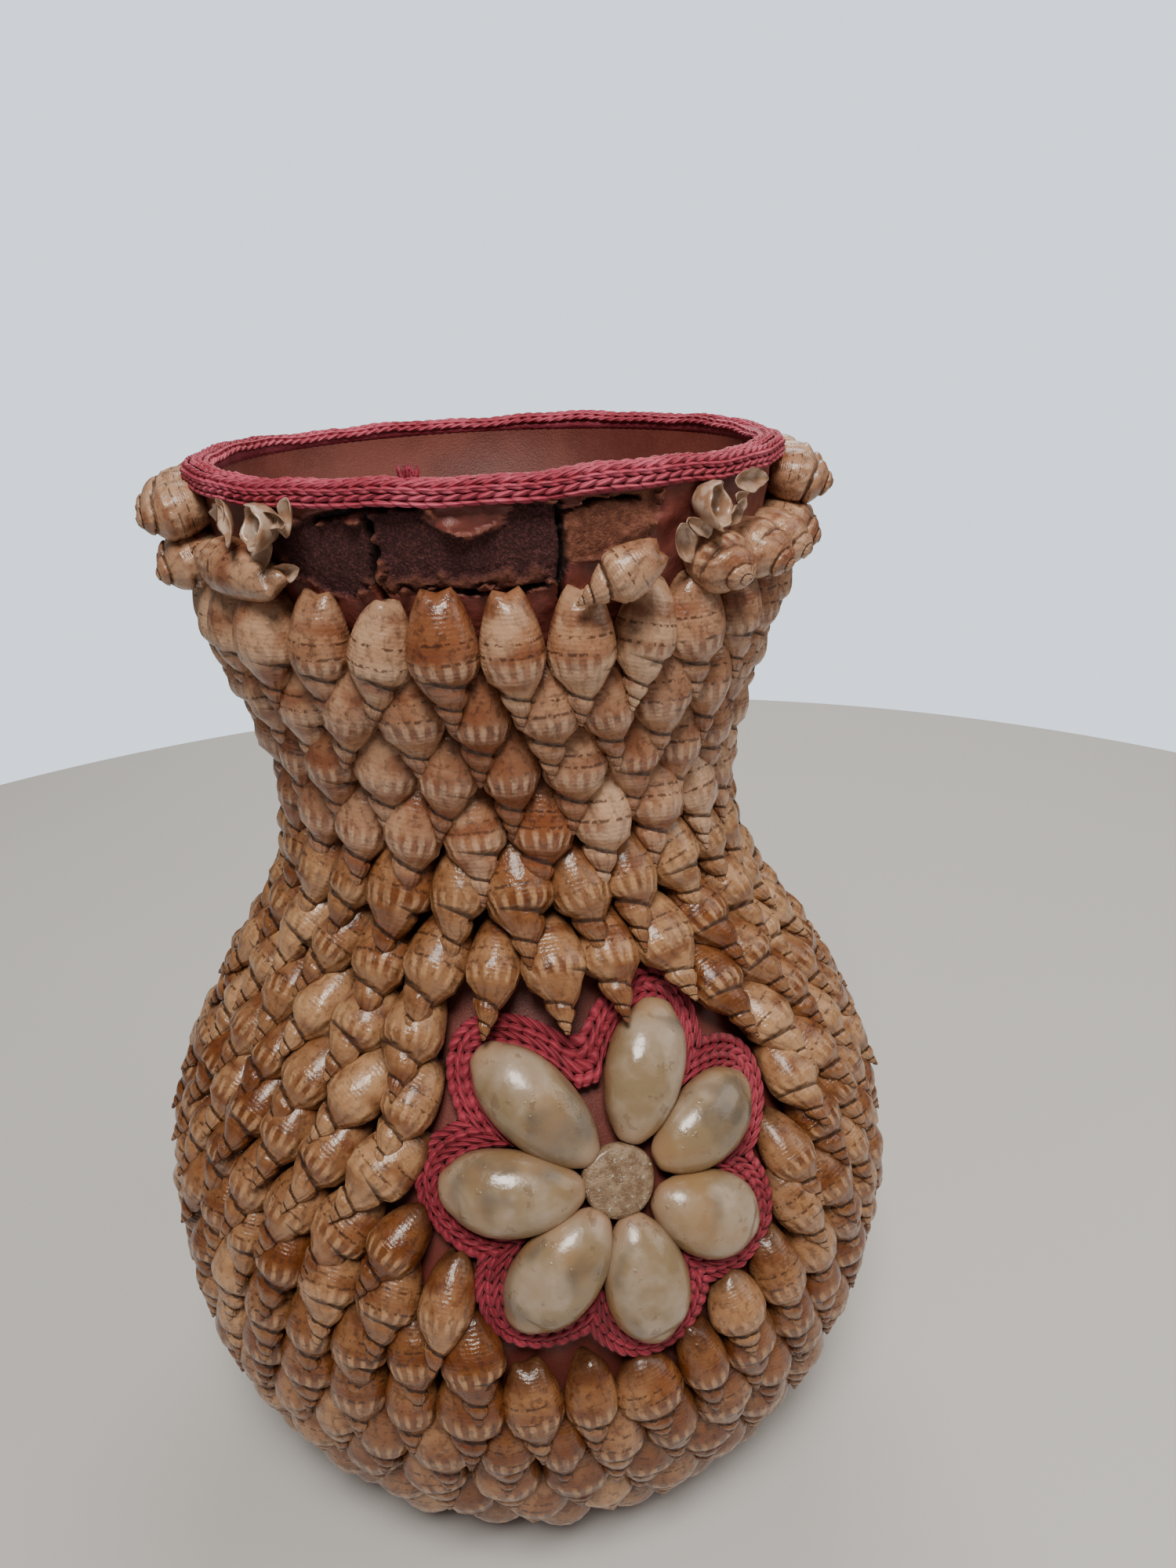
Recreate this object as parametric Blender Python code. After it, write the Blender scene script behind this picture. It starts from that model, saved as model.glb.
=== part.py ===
# Shell vase: a hollow pot with a round belly, a waist and a flared lip, set all over
# with rows of small pointed shells, a flower of cowries and a knitted red braid.
# Metres, +Z up, origin in the middle of the foot, the flower towards -Y.

import random
from math import atan2, cos, degrees, exp, hypot, pi, radians, sin, sqrt

import bpy
import bmesh
from mathutils import Vector

# The pot, measured on the outside of its wall
LIP_Z = 0.2020
LIP_RADIUS = 0.0485
WAIST_Z = 0.1395
WAIST_RADIUS = 0.0326
BELLY_Z = 0.0600
BELLY_RADIUS = 0.0658
FOOT_RADIUS = 0.0390
WALL = 0.0040
FLOOR = 0.0060
SHOULDER_BIAS = 1.12
BASE_BIAS = 2.2
POT_SIDES = 30
OUTER_BANDS = (3, 5, 4)
INNER_BANDS = (2, 3, 2)
SHARP_ANGLE = 40.0

# Gaps between pieces that touch
GAP = 0.0003
BED = 0.0012

# One shell of the rows, from its crest: the apex hangs down, the other end points up
SHELL_STAND = 0.0092
SHELL_PITCH = 0.0109
TAIL_REACH = 0.0102
APEX_REACH = 0.0073
APEX_STAND = 0.0078
FLANK_STAND_UP = 0.0032
FLANK_STAND_DOWN = 0.0046
FLANK_UP = 0.0045
FLANK_DOWN = 0.0010
CREST_UP = 0.0010
HEEL_UP = 0.0005

# The rows
FIRST_ROW_Z = 0.1746
ROW_PITCH = 0.0109
ROW_COUNT = 17
LOW_ROWS_BELOW = 0.0400
LOW_SHELL_PITCH = 0.0135
PITCH_JITTER = 0.10
ROW_START = 0.02
GREY_ROWS = 4
ROW_SEED = 100

# How far shells lean on the left and right of the flower and on the neck, in degrees
LEFT_LEAN = -42.0
RIGHT_LEAN = 16.0
NECK_LEAN = -11.0

# The collar of shells that point outwards under the lip
COLLAR_PITCH = 0.0104
COLLAR_STAND = 0.0110
COLLAR_HALF_HEIGHT = 0.0040
COLLAR_FLANK_STAND = 0.0042
COLLAR_LOW_RISE = 0.0126
COLLAR_SPACING = 0.0090
COLLAR_UPPER_RIGHT = 56.6
COLLAR_UPPER_LEFT = -77.4
COLLAR_LOWER_RIGHT = 23.6
COLLAR_LOWER_LEFT = -79.0
COLLAR_DROP_LEAST = 0.0005
COLLAR_DROP_MOST = 0.0018
COLLAR_LOWER_SEED = 133
COLLAR_UPPER_SEED = 223

# The flower
FLOWER_Z = 0.0942
FLOWER_STAND = 0.0035
COWRIE_COUNT = 7
COWRIE_FIRST_ANGLE = 63.0
COWRIE_STEP = -48.9
COWRIE_RING = 0.0172
COWRIE_LENGTH = 0.0214
COWRIE_WIDTH = 0.0132
COWRIE_HEIGHT = 0.0078
COWRIE_TAPER = 0.20
COWRIE_SIDE = 0.30
BUTTON_RADIUS = 0.0062
BUTTON_HEIGHT = 0.0034
BUTTON_FOOT = 0.86
BUTTON_SHOULDER = 0.55
BUTTON_SIDES = 12
FLOWER_BRAID_WIDTH = 0.0045
FLOWER_BRAID_HEIGHT = 0.0022
FLOWER_BRAID_POINTS = 42
FLOWER_CUSP = 0.0180
FLOWER_CLEARANCE = 0.0006
FLOWER_SPREAD = 1.04

# The braid on the lip
LIP_BRAID_THICK = 0.0026
LIP_BRAID_DROP = 0.0024
LIP_BRAID_RISE = 0.0015
LIP_BRAID_INSIDE = 0.0040
LIP_BRAID_INSIDE_THICK = 0.0018
INSIDE_CLEARANCE = 0.0011

# Single shells that lie at the lip
SIDE_SHELL_LENGTH = 0.0215
SIDE_SHELL_WIDTH = 0.0088
SIDE_SHELL_ANGLE = -62.0
SIDE_SHELL_RISE = 0.0014
LOOSE_SHELL_LENGTH = 0.0150
LOOSE_SHELL_WIDTH = 0.0078
LOOSE_SHELL_ANGLE = 7.1
LOOSE_SHELL_TURN = 38.0
LOOSE_SHELL_LIFT = 0.0030
LOOSE_SHELL_DROP = 0.0020
SPINDLE_SIDES = 6
SPINDLE_OUTLINE = ((-0.47, 0.16), (-0.20, 0.46), (0.10, 1.0), (0.22, 0.86), (0.40, 0.30))
SPINDLE_TIP = 0.53
CUP_RADIUS = 0.0042
CUP_DEPTH = 0.0045
CUP_WALL = 0.0008
CUP_SIDES = 6
CUP_FOOT = 0.55
CUP_LIP = 0.92
LEFT_CUP_ANGLE = -52.4
RIGHT_CUP_ANGLE = 25.6

# Colours
TERRACOTTA = (0.13, 0.062, 0.050)
SHELL_TAN = (0.42, 0.26, 0.13)
SHELL_GREY = (0.38, 0.29, 0.20)
COWRIE_CREAM = (0.56, 0.46, 0.29)
BUTTON_BEIGE = (0.40, 0.29, 0.17)
BRAID_RED = (0.36, 0.035, 0.065)


def clear_scene():
    for old in list(bpy.data.objects):
        bpy.data.objects.remove(old, do_unlink=True)


def material(name, colour, roughness):
    made = bpy.data.materials.new(name)
    made.use_nodes = True
    shader = made.node_tree.nodes["Principled BSDF"]
    shader.inputs["Base Color"].default_value = (*colour, 1.0)
    shader.inputs["Roughness"].default_value = roughness
    shader.inputs["Metallic"].default_value = 0.0
    return made


def finish(name, bm, look, smooth):
    """Turn a mesh into one named object with its faces pointing out."""
    bmesh.ops.recalc_face_normals(bm, faces=bm.faces)
    mesh = bpy.data.meshes.new(name)
    bm.to_mesh(mesh)
    bm.free()
    if smooth:
        mesh.shade_smooth()
        mesh.set_sharp_from_angle(angle=radians(SHARP_ANGLE))
    made = bpy.data.objects.new(name, mesh)
    made.data.materials.append(look)
    bpy.context.scene.collection.objects.link(made)
    return made


# The wall's outline

def wall_radius(z):
    """Outer radius of the bare wall at a height."""
    if z >= WAIST_Z:
        along = (z - WAIST_Z) / (LIP_Z - WAIST_Z)
        return WAIST_RADIUS + (LIP_RADIUS - WAIST_RADIUS) * (1.0 - cos(pi * along)) / 2.0
    if z >= BELLY_Z:
        along = (z - BELLY_Z) / (WAIST_Z - BELLY_Z)
        share = (1.0 + cos(pi * along ** SHOULDER_BIAS)) / 2.0
        return WAIST_RADIUS + (BELLY_RADIUS - WAIST_RADIUS) * share
    along = (BELLY_Z - z) / BELLY_Z
    return FOOT_RADIUS + (BELLY_RADIUS - FOOT_RADIUS) * (1.0 - along ** BASE_BIAS)


def wall_normal(z):
    """Outward direction across the wall, as its radial and upward shares."""
    step = 0.0005
    low, high = max(0.0, z - step), min(LIP_Z, z + step)
    slope = (wall_radius(high) - wall_radius(low)) / (high - low)
    size = hypot(1.0, slope)
    return 1.0 / size, -slope / size


class Station:
    """A place on the wall's outline with its way down from the lip."""

    def __init__(self, z):
        self.z = z
        self.radius = wall_radius(z)
        self.out, self.up = wall_normal(z)
        self.crest_radius = self.radius + self.out * SHELL_STAND
        self.crest_z = z + self.up * SHELL_STAND
        self.down = 0.0


def make_stations():
    """Stations from lip to foot; the way down is measured along the shells' crests."""
    count = 160
    made = [Station(LIP_Z * (count - i) / count) for i in range(count + 1)]
    for before, here in zip(made, made[1:]):
        step = hypot(here.crest_radius - before.crest_radius, here.crest_z - before.crest_z)
        here.down = before.down + step
    return made


STATIONS = make_stations()


def down_at(crest_z):
    """Way down from the lip to where the crests reach a height."""
    for before, here in zip(STATIONS, STATIONS[1:]):
        if here.crest_z <= crest_z:
            share = (before.crest_z - crest_z) / (before.crest_z - here.crest_z)
            return before.down + (here.down - before.down) * share
    return STATIONS[-1].down


def between(down):
    """The two stations around a way down, and the share of the second."""
    low, high = 0, len(STATIONS) - 1
    while high - low > 1:
        middle = (low + high) // 2
        if STATIONS[middle].down <= down:
            low = middle
        else:
            high = middle
    first, second = STATIONS[low], STATIONS[high]
    return first, second, (down - first.down) / (second.down - first.down)


def crest_radius_at(down):
    first, second, share = between(down)
    return first.crest_radius + (second.crest_radius - first.crest_radius) * share


def spot(angle, down, stand):
    """A point at an angle around the pot, a way down and a height above the wall."""
    first, second, share = between(down)
    radius = first.radius + (second.radius - first.radius) * share
    height = first.z + (second.z - first.z) * share
    out = first.out + (second.out - first.out) * share
    up = first.up + (second.up - first.up) * share
    far = radius + out * stand
    return Vector((far * sin(angle), -far * cos(angle), height + up * stand))


# The pot

def levels(stops, bands):
    """Heights from stop to stop, each stretch cut into its number of bands."""
    heights = [stops[0]]
    for start, end, count in zip(stops, stops[1:], bands):
        heights += [start + (end - start) * i / count for i in range(1, count + 1)]
    return heights


def build_pot(look):
    outer = [(wall_radius(z), z) for z in levels((0.0, BELLY_Z, WAIST_Z, LIP_Z), OUTER_BANDS)]
    inner = []
    for z in levels((LIP_Z, WAIST_Z, BELLY_Z, FLOOR), INNER_BANDS):
        out, up = wall_normal(z)
        inner.append((wall_radius(z) - WALL / out, z))
    bm = bmesh.new()
    rings = []
    for radius, z in outer + inner:
        turns = [2.0 * pi * i / POT_SIDES for i in range(POT_SIDES)]
        rings.append([bm.verts.new((radius * sin(t), -radius * cos(t), z)) for t in turns])
    for first, second in zip(rings, rings[1:]):
        for i in range(POT_SIDES):
            after = (i + 1) % POT_SIDES
            bm.faces.new((first[i], first[after], second[after], second[i]))
    bm.faces.new(rings[0])
    bm.faces.new(list(reversed(rings[-1])))
    return finish("vase_body", bm, look, True)


# A chain of shells, fused at the flanks where neighbours touch

def build_chain(name, joints, shells, closed, look):
    """Joints are triples of points where neighbours touch: upper, lower and heel.
    Shells are triples of points: crest, tail and apex."""
    bm = bmesh.new()
    joint_verts = [[bm.verts.new(point) for point in joint] for joint in joints]
    shell_verts = [[bm.verts.new(point) for point in shell] for shell in shells]
    for i, (crest, tail, apex) in enumerate(shell_verts):
        upper, lower, heel = joint_verts[i]
        next_upper, next_lower, next_heel = joint_verts[(i + 1) % len(joint_verts)]
        faces = (
            (upper, lower, crest), (next_lower, next_upper, crest),
            (upper, crest, tail), (tail, crest, next_upper),
            (lower, apex, crest), (crest, apex, next_lower),
            (upper, tail, heel), (tail, next_upper, next_heel), (tail, next_heel, heel),
            (lower, heel, apex), (apex, next_heel, next_lower), (apex, heel, next_heel),
        )
        for face in faces:
            bm.faces.new(face)
    if not closed:
        bm.faces.new(joint_verts[0])
        bm.faces.new(joint_verts[-1])
    return finish(name, bm, look, False)


# The flower's outline, in its own plane laid at the height of its cowries' outlines

FLOWER_DOWN = down_at(FLOWER_Z)


def flower_radius(down):
    first, second, share = between(down)
    radius = first.radius + (second.radius - first.radius) * share
    return radius + (crest_radius_at(down) - radius) * FLOWER_STAND / SHELL_STAND


def flower_place(along, rise):
    """Angle around the pot and way down for a place in the flower."""
    down = FLOWER_DOWN - rise * FLOWER_SPREAD
    return along / flower_radius(down), down


def flower_polar(angle, down):
    along = angle * flower_radius(down)
    rise = (FLOWER_DOWN - down) / FLOWER_SPREAD
    return hypot(along, rise), atan2(rise, along)


def cowrie_angle(number):
    return radians(COWRIE_FIRST_ANGLE + COWRIE_STEP * number)


def flower_edge(theta, margin):
    """Distance from the middle of the flower to an outline around its cowries."""
    half_length = COWRIE_LENGTH / 2.0 + margin
    half_width = COWRIE_WIDTH / 2.0 + margin
    edge = FLOWER_CUSP + margin
    for number in range(COWRIE_COUNT):
        turn = theta - cowrie_angle(number)
        across = cos(turn) ** 2 / half_length ** 2 + sin(turn) ** 2 / half_width ** 2
        toward = COWRIE_RING * cos(turn) / half_length ** 2
        rest = COWRIE_RING ** 2 / half_length ** 2 - 1.0
        inside = toward ** 2 - across * rest
        if inside > 0.0 and cos(turn) > 0.0:
            edge = max(edge, (toward + sqrt(inside)) / across)
    return edge


BRAID_INNER = FLOWER_CLEARANCE
BRAID_OUTER = FLOWER_CLEARANCE + FLOWER_BRAID_WIDTH
INTERFACE_SLOPE = (APEX_STAND - BED) / (APEX_REACH + HEEL_UP)


def flower_room(angle, down, margin):
    """How far a place lies outside an outline of the flower."""
    if abs(angle) > pi / 2.0:
        return 1.0
    reach, theta = flower_polar(angle, down)
    return reach - flower_edge(theta, margin)


def flower_side(down, side):
    """Angle at which a row starts beside the braid, or nothing where it runs free."""
    levels_tried = 12
    angles_tried = 90
    widest = 45.0
    edge = None
    above = FLANK_UP + FLOWER_CLEARANCE
    below = (FLOWER_BRAID_HEIGHT + GAP) / INTERFACE_SLOPE - HEEL_UP
    for i in range(levels_tried + 1):
        level = down - above + (above + below) * i / levels_tried
        for j in range(angles_tried):
            angle = side * radians(widest * (angles_tried - j) / angles_tried)
            if flower_room(angle, level, BRAID_OUTER + FLOWER_CLEARANCE) < 0.0:
                if edge is None or abs(angle) > abs(edge):
                    edge = angle
                break
    return edge


# The rows

def lean(angle, height):
    """How far the shells at a place lean, in radians, apex towards +X at the front."""
    def near(middle_turn, half_turn, middle_height, half_height):
        aside = (degrees(angle) - middle_turn) / half_turn
        above = (height - middle_height) / half_height
        return exp(-aside ** 2 - above ** 2)

    left = LEFT_LEAN * near(-34.0, 20.0, 0.094, 0.016)
    right = RIGHT_LEAN * near(22.0, 16.0, 0.080, 0.018)
    neck = NECK_LEAN * near(-45.0, 25.0, 0.150, 0.022)
    return radians(left + right + neck)


def row_shells(number, down, rng):
    """Angles of the joints of one row, and whether the row closes on itself."""
    radius = crest_radius_at(down)
    first, second, share = between(down)
    height = first.crest_z + (second.crest_z - first.crest_z) * share
    pitch = LOW_SHELL_PITCH if height < LOW_ROWS_BELOW else SHELL_PITCH
    right = flower_side(down, 1.0)
    left = flower_side(down, -1.0)
    if right is None or left is None:
        count = round(2.0 * pi * radius / pitch)
        start = number * pi / count + ROW_START
        span = 2.0 * pi
        closed = True
    else:
        margin = FLOWER_CLEARANCE / radius
        start = right + margin
        span = 2.0 * pi + left - right - 2.0 * margin
        count = round(span * radius / pitch)
        closed = False
    step = span / count
    angles = []
    for i in range(count if closed else count + 1):
        shift = rng.uniform(-PITCH_JITTER, PITCH_JITTER) * step
        if not closed and i in (0, count):
            shift = 0.0
        angles.append(start + step * i + shift)
    return angles, height, closed


def wrapped(angle):
    return (angle + pi) % (2.0 * pi) - pi


def clear_reach(angle, down, turn, reach, way, margin):
    """Shorten a shell's end until it stays outside an outline of the flower."""
    tries = 20
    for i in range(tries):
        part = reach * (1.0 - i / tries)
        radius = crest_radius_at(down)
        at = wrapped(angle + way * sin(turn) * part / radius)
        if flower_room(at, down + way * cos(turn) * part, margin) > 0.0:
            return part
    return reach / tries


def interface(rise):
    """Height above the wall of the slanting underside of a row, past its heels."""
    return BED + INTERFACE_SLOPE * (rise + HEEL_UP)


def build_row(number, look):
    down = down_at(FIRST_ROW_Z) + ROW_PITCH * (number - 1)
    rng = random.Random(ROW_SEED + number)
    angles, height, closed = row_shells(number, down, rng)
    joints = []
    for angle in angles:
        joints.append((
            spot(angle, down - FLANK_UP, FLANK_STAND_UP),
            spot(angle, down + FLANK_DOWN, FLANK_STAND_DOWN),
            spot(angle, down - HEEL_UP, BED),
        ))
    shells = []
    for i in range(len(angles) if closed else len(angles) - 1):
        after = angles[(i + 1) % len(angles)]
        if i + 1 == len(angles):
            after += 2.0 * pi
        middle = (angles[i] + after) / 2.0
        turn = lean(wrapped(middle), height)
        radius = crest_radius_at(down)
        tail = clear_reach(middle, down, turn, TAIL_REACH, -1.0, BRAID_OUTER + FLOWER_CLEARANCE)
        apex = clear_reach(middle, down, turn, APEX_REACH, 1.0, BRAID_INNER + FLOWER_BRAID_WIDTH / 3.0)
        tail_angle = middle - sin(turn) * tail / radius
        apex_angle = middle + sin(turn) * apex / radius
        apex_down = cos(turn) * apex
        shells.append((
            spot(middle, down - CREST_UP, SHELL_STAND),
            spot(tail_angle, down - cos(turn) * tail, BED),
            spot(apex_angle, down + apex_down, max(interface(apex_down), FLANK_STAND_DOWN)),
        ))
    return build_chain(f"shell_row_{number:02d}", joints, shells, closed, look)


def build_collar(name, rise, right, left, seed, look):
    """Shells side by side with their points outwards, missing at the front."""
    down = down_at(FIRST_ROW_Z) - rise
    radius = crest_radius_at(down)
    start = radians(right)
    span = 2.0 * pi - start + radians(left)
    count = round(span * radius / COLLAR_PITCH)
    step = span / count
    rng = random.Random(seed)
    joints = []
    for i in range(count + 1):
        angle = start + step * i
        joints.append((
            spot(angle, down - COLLAR_HALF_HEIGHT / 2.0, COLLAR_FLANK_STAND),
            spot(angle, down + COLLAR_HALF_HEIGHT / 2.0, COLLAR_FLANK_STAND),
            spot(angle, down, BED),
        ))
    shells = []
    for i in range(count):
        middle = start + step * (i + 0.5)
        drop = rng.uniform(COLLAR_DROP_LEAST, COLLAR_DROP_MOST)
        shells.append((
            spot(middle, down + drop, COLLAR_STAND),
            spot(middle, down - COLLAR_HALF_HEIGHT, COLLAR_FLANK_STAND),
            spot(middle, down + COLLAR_HALF_HEIGHT, COLLAR_FLANK_STAND),
        ))
    return build_chain(name, joints, shells, False, look)


# The flower

def build_cowrie(number, look):
    """A domed cowrie, its narrow end towards the middle of the flower."""
    bm = bmesh.new()
    bmesh.ops.create_icosphere(bm, subdivisions=2, radius=1.0)
    turn = cowrie_angle(number)
    middle = Vector((cos(turn), sin(turn))) * COWRIE_RING
    outward = Vector((cos(turn), sin(turn)))
    sideways = Vector((-sin(turn), cos(turn)))
    widest = 1.0 + COWRIE_TAPER * 0.3
    for vert in bm.verts:
        x, y, z = vert.co
        taper = 1.0 + COWRIE_TAPER * x
        place = middle + outward * (x * COWRIE_LENGTH / 2.0)
        place += sideways * (y * COWRIE_WIDTH / 2.0 * taper / widest)
        above = COWRIE_SIDE + (1.0 - COWRIE_SIDE) * z
        below = COWRIE_SIDE * (1.0 + z)
        angle, down = flower_place(place.x, place.y)
        vert.co = spot(angle, down, BED + COWRIE_HEIGHT * (above if z > 0.0 else below))
    return finish(f"cowrie_{number + 1}", bm, look, True)


def build_button(look):
    bm = bmesh.new()
    rings = []
    shoulder = BED + BUTTON_HEIGHT * BUTTON_SHOULDER
    for radius, stand in ((BUTTON_RADIUS * BUTTON_FOOT, BED), (BUTTON_RADIUS, shoulder)):
        ring = []
        for i in range(BUTTON_SIDES):
            turn = 2.0 * pi * i / BUTTON_SIDES
            angle, down = flower_place(radius * cos(turn), radius * sin(turn))
            ring.append(bm.verts.new(spot(angle, down, stand)))
        rings.append(ring)
    floor = bm.verts.new(spot(0.0, FLOWER_DOWN, BED))
    crown = bm.verts.new(spot(0.0, FLOWER_DOWN, BED + BUTTON_HEIGHT))
    for i in range(BUTTON_SIDES):
        after = (i + 1) % BUTTON_SIDES
        bm.faces.new((rings[0][i], rings[0][after], rings[1][after], rings[1][i]))
        bm.faces.new((rings[0][after], rings[0][i], floor))
        bm.faces.new((rings[1][i], rings[1][after], crown))
    return finish("flower_button", bm, look, True)


def build_flower_braid(look):
    bm = bmesh.new()
    rings = []
    for i in range(FLOWER_BRAID_POINTS):
        theta = 2.0 * pi * i / FLOWER_BRAID_POINTS
        ring = []
        corners = (
            (BRAID_INNER, BED), (BRAID_INNER, BED + FLOWER_BRAID_HEIGHT),
            (BRAID_OUTER, BED + FLOWER_BRAID_HEIGHT), (BRAID_OUTER, BED),
        )
        for margin, stand in corners:
            reach = flower_edge(theta, margin)
            angle, down = flower_place(reach * cos(theta), reach * sin(theta))
            ring.append(bm.verts.new(spot(angle, down, stand)))
        rings.append(ring)
    bridge_rings(bm, rings)
    return finish("flower_braid", bm, look, False)


def bridge_rings(bm, rings):
    """Join a closed run of equal sections into a ring."""
    corners = len(rings[0])
    for i, ring in enumerate(rings):
        following = rings[(i + 1) % len(rings)]
        for j in range(corners):
            after = (j + 1) % corners
            bm.faces.new((ring[j], ring[after], following[after], following[j]))


# The braid on the lip

def build_lip_ring(name, corners, look):
    bm = bmesh.new()
    rings = []
    for i in range(POT_SIDES):
        turn = 2.0 * pi * i / POT_SIDES
        rings.append([bm.verts.new((r * sin(turn), -r * cos(turn), z)) for r, z in corners])
    bridge_rings(bm, rings)
    return finish(name, bm, look, True)


def build_lip_braids(look):
    """One turn of braid around the lip's outside, and one over its top and inside."""
    inner = LIP_RADIUS + GAP
    outer = inner + LIP_BRAID_THICK
    low = LIP_Z - LIP_BRAID_DROP
    high = LIP_Z + LIP_BRAID_RISE
    around = ((inner, low), (outer, low), (outer, high), (inner, high))
    build_lip_ring("lip_braid_outer", around, look)
    bore = LIP_RADIUS - WALL - INSIDE_CLEARANCE
    reach = bore - LIP_BRAID_INSIDE_THICK
    floor = LIP_Z + GAP
    crown = floor + LIP_BRAID_THICK
    hem = LIP_Z - LIP_BRAID_INSIDE
    over = (
        (LIP_RADIUS, floor), (LIP_RADIUS, crown), (reach, crown),
        (reach, hem), (bore, hem), (bore, floor),
    )
    build_lip_ring("lip_braid_top", over, look)


# Single shells

def build_spindle(name, angle, down, turn, length, width, stand, look):
    """A pointed shell lying along the wall: a spire, a full body and a blunt tail."""
    bm = bmesh.new()
    rings = []
    for along, wide in SPINDLE_OUTLINE:
        ring = []
        for i in range(SPINDLE_SIDES):
            around = 2.0 * pi * i / SPINDLE_SIDES
            side = cos(around) * wide * width / 2.0
            lift = sin(around) * wide * width / 2.0 + stand
            run = along * length
            aside = cos(turn) * run - sin(turn) * side
            drop = sin(turn) * run + cos(turn) * side
            at = angle + aside / crest_radius_at(down)
            ring.append(bm.verts.new(spot(at, down + drop, lift)))
        rings.append(ring)
    for first, second in zip(rings, rings[1:]):
        for i in range(SPINDLE_SIDES):
            after = (i + 1) % SPINDLE_SIDES
            bm.faces.new((first[i], first[after], second[after], second[i]))
    bm.faces.new(rings[0])
    run = SPINDLE_TIP * length
    at = angle + cos(turn) * run / crest_radius_at(down)
    point = bm.verts.new(spot(at, down + sin(turn) * run, stand))
    for i in range(SPINDLE_SIDES):
        bm.faces.new((rings[-1][i], rings[-1][(i + 1) % SPINDLE_SIDES], point))
    return finish(name, bm, look, True)


def build_cup(name, angle, down, look):
    """What is left of a broken shell: a small cup that opens outwards."""
    bm = bmesh.new()
    rings = []
    inner = CUP_RADIUS - CUP_WALL
    middle = BED + CUP_DEPTH / 2.0
    top = BED + CUP_DEPTH
    outline = (
        (CUP_RADIUS * CUP_FOOT, BED), (CUP_RADIUS, middle), (CUP_RADIUS * CUP_LIP, top),
        (inner * CUP_LIP, top), (inner, middle), (inner * CUP_FOOT, BED + CUP_WALL),
    )
    for radius, stand in outline:
        ring = []
        for i in range(CUP_SIDES):
            turn = 2.0 * pi * i / CUP_SIDES
            at = angle + radius * cos(turn) / crest_radius_at(down)
            ring.append(bm.verts.new(spot(at, down + radius * sin(turn), stand)))
        rings.append(ring)
    for first, second in zip(rings, rings[1:]):
        for i in range(CUP_SIDES):
            after = (i + 1) % CUP_SIDES
            bm.faces.new((first[i], first[after], second[after], second[i]))
    bm.faces.new(rings[0])
    bm.faces.new(rings[-1])
    return finish(name, bm, look, True)


def main():
    clear_scene()
    terracotta = material("terracotta", TERRACOTTA, 0.55)
    shell_tan = material("shell_tan", SHELL_TAN, 0.35)
    shell_grey = material("shell_grey", SHELL_GREY, 0.35)
    cowrie_cream = material("cowrie_cream", COWRIE_CREAM, 0.18)
    button_beige = material("button_beige", BUTTON_BEIGE, 0.40)
    braid_red = material("braid_red", BRAID_RED, 0.70)

    build_pot(terracotta)
    for number in range(1, ROW_COUNT + 1):
        build_row(number, shell_grey if number <= GREY_ROWS else shell_tan)

    build_collar("collar_lower", COLLAR_LOW_RISE, COLLAR_LOWER_RIGHT, COLLAR_LOWER_LEFT,
                 COLLAR_LOWER_SEED, shell_tan)
    upper_rise = COLLAR_LOW_RISE + COLLAR_SPACING
    build_collar("collar_upper", upper_rise, COLLAR_UPPER_RIGHT, COLLAR_UPPER_LEFT,
                 COLLAR_UPPER_SEED, shell_tan)

    for number in range(COWRIE_COUNT):
        build_cowrie(number, cowrie_cream)
    build_button(button_beige)
    build_flower_braid(braid_red)
    build_lip_braids(braid_red)

    row_down = down_at(FIRST_ROW_Z)
    low_down = row_down - COLLAR_LOW_RISE
    high_down = row_down - upper_rise
    side_stand = GAP + cos(pi / SPINDLE_SIDES) * SIDE_SHELL_WIDTH / 2.0
    build_spindle("side_shell", radians(SIDE_SHELL_ANGLE), low_down - SIDE_SHELL_RISE, pi,
                  SIDE_SHELL_LENGTH, SIDE_SHELL_WIDTH, side_stand, shell_tan)
    loose_stand = BED + LOOSE_SHELL_WIDTH / 2.0 + LOOSE_SHELL_LIFT
    loose_turn = pi - radians(LOOSE_SHELL_TURN)
    build_spindle("loose_shell", radians(LOOSE_SHELL_ANGLE), low_down + LOOSE_SHELL_DROP, loose_turn,
                  LOOSE_SHELL_LENGTH, LOOSE_SHELL_WIDTH, loose_stand, shell_tan)
    build_cup("broken_shell_left", radians(LEFT_CUP_ANGLE), high_down, shell_tan)
    build_cup("broken_shell_right", radians(RIGHT_CUP_ANGLE), high_down, shell_tan)


main()
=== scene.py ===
# Shell vase, its visible surfaces. Metres, +Z up, origin in the middle of the foot,
# the flower towards -Y. Places on the pot are an angle, a way down and a height above the wall.
import random
from math import atan2, cos, degrees, exp, hypot, pi, radians, sin, sqrt, tau

import bpy
import bmesh
import numpy as np
from bpy.props import FloatProperty, FloatVectorProperty, IntProperty, PointerProperty
from mathutils import Matrix, Vector


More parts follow.
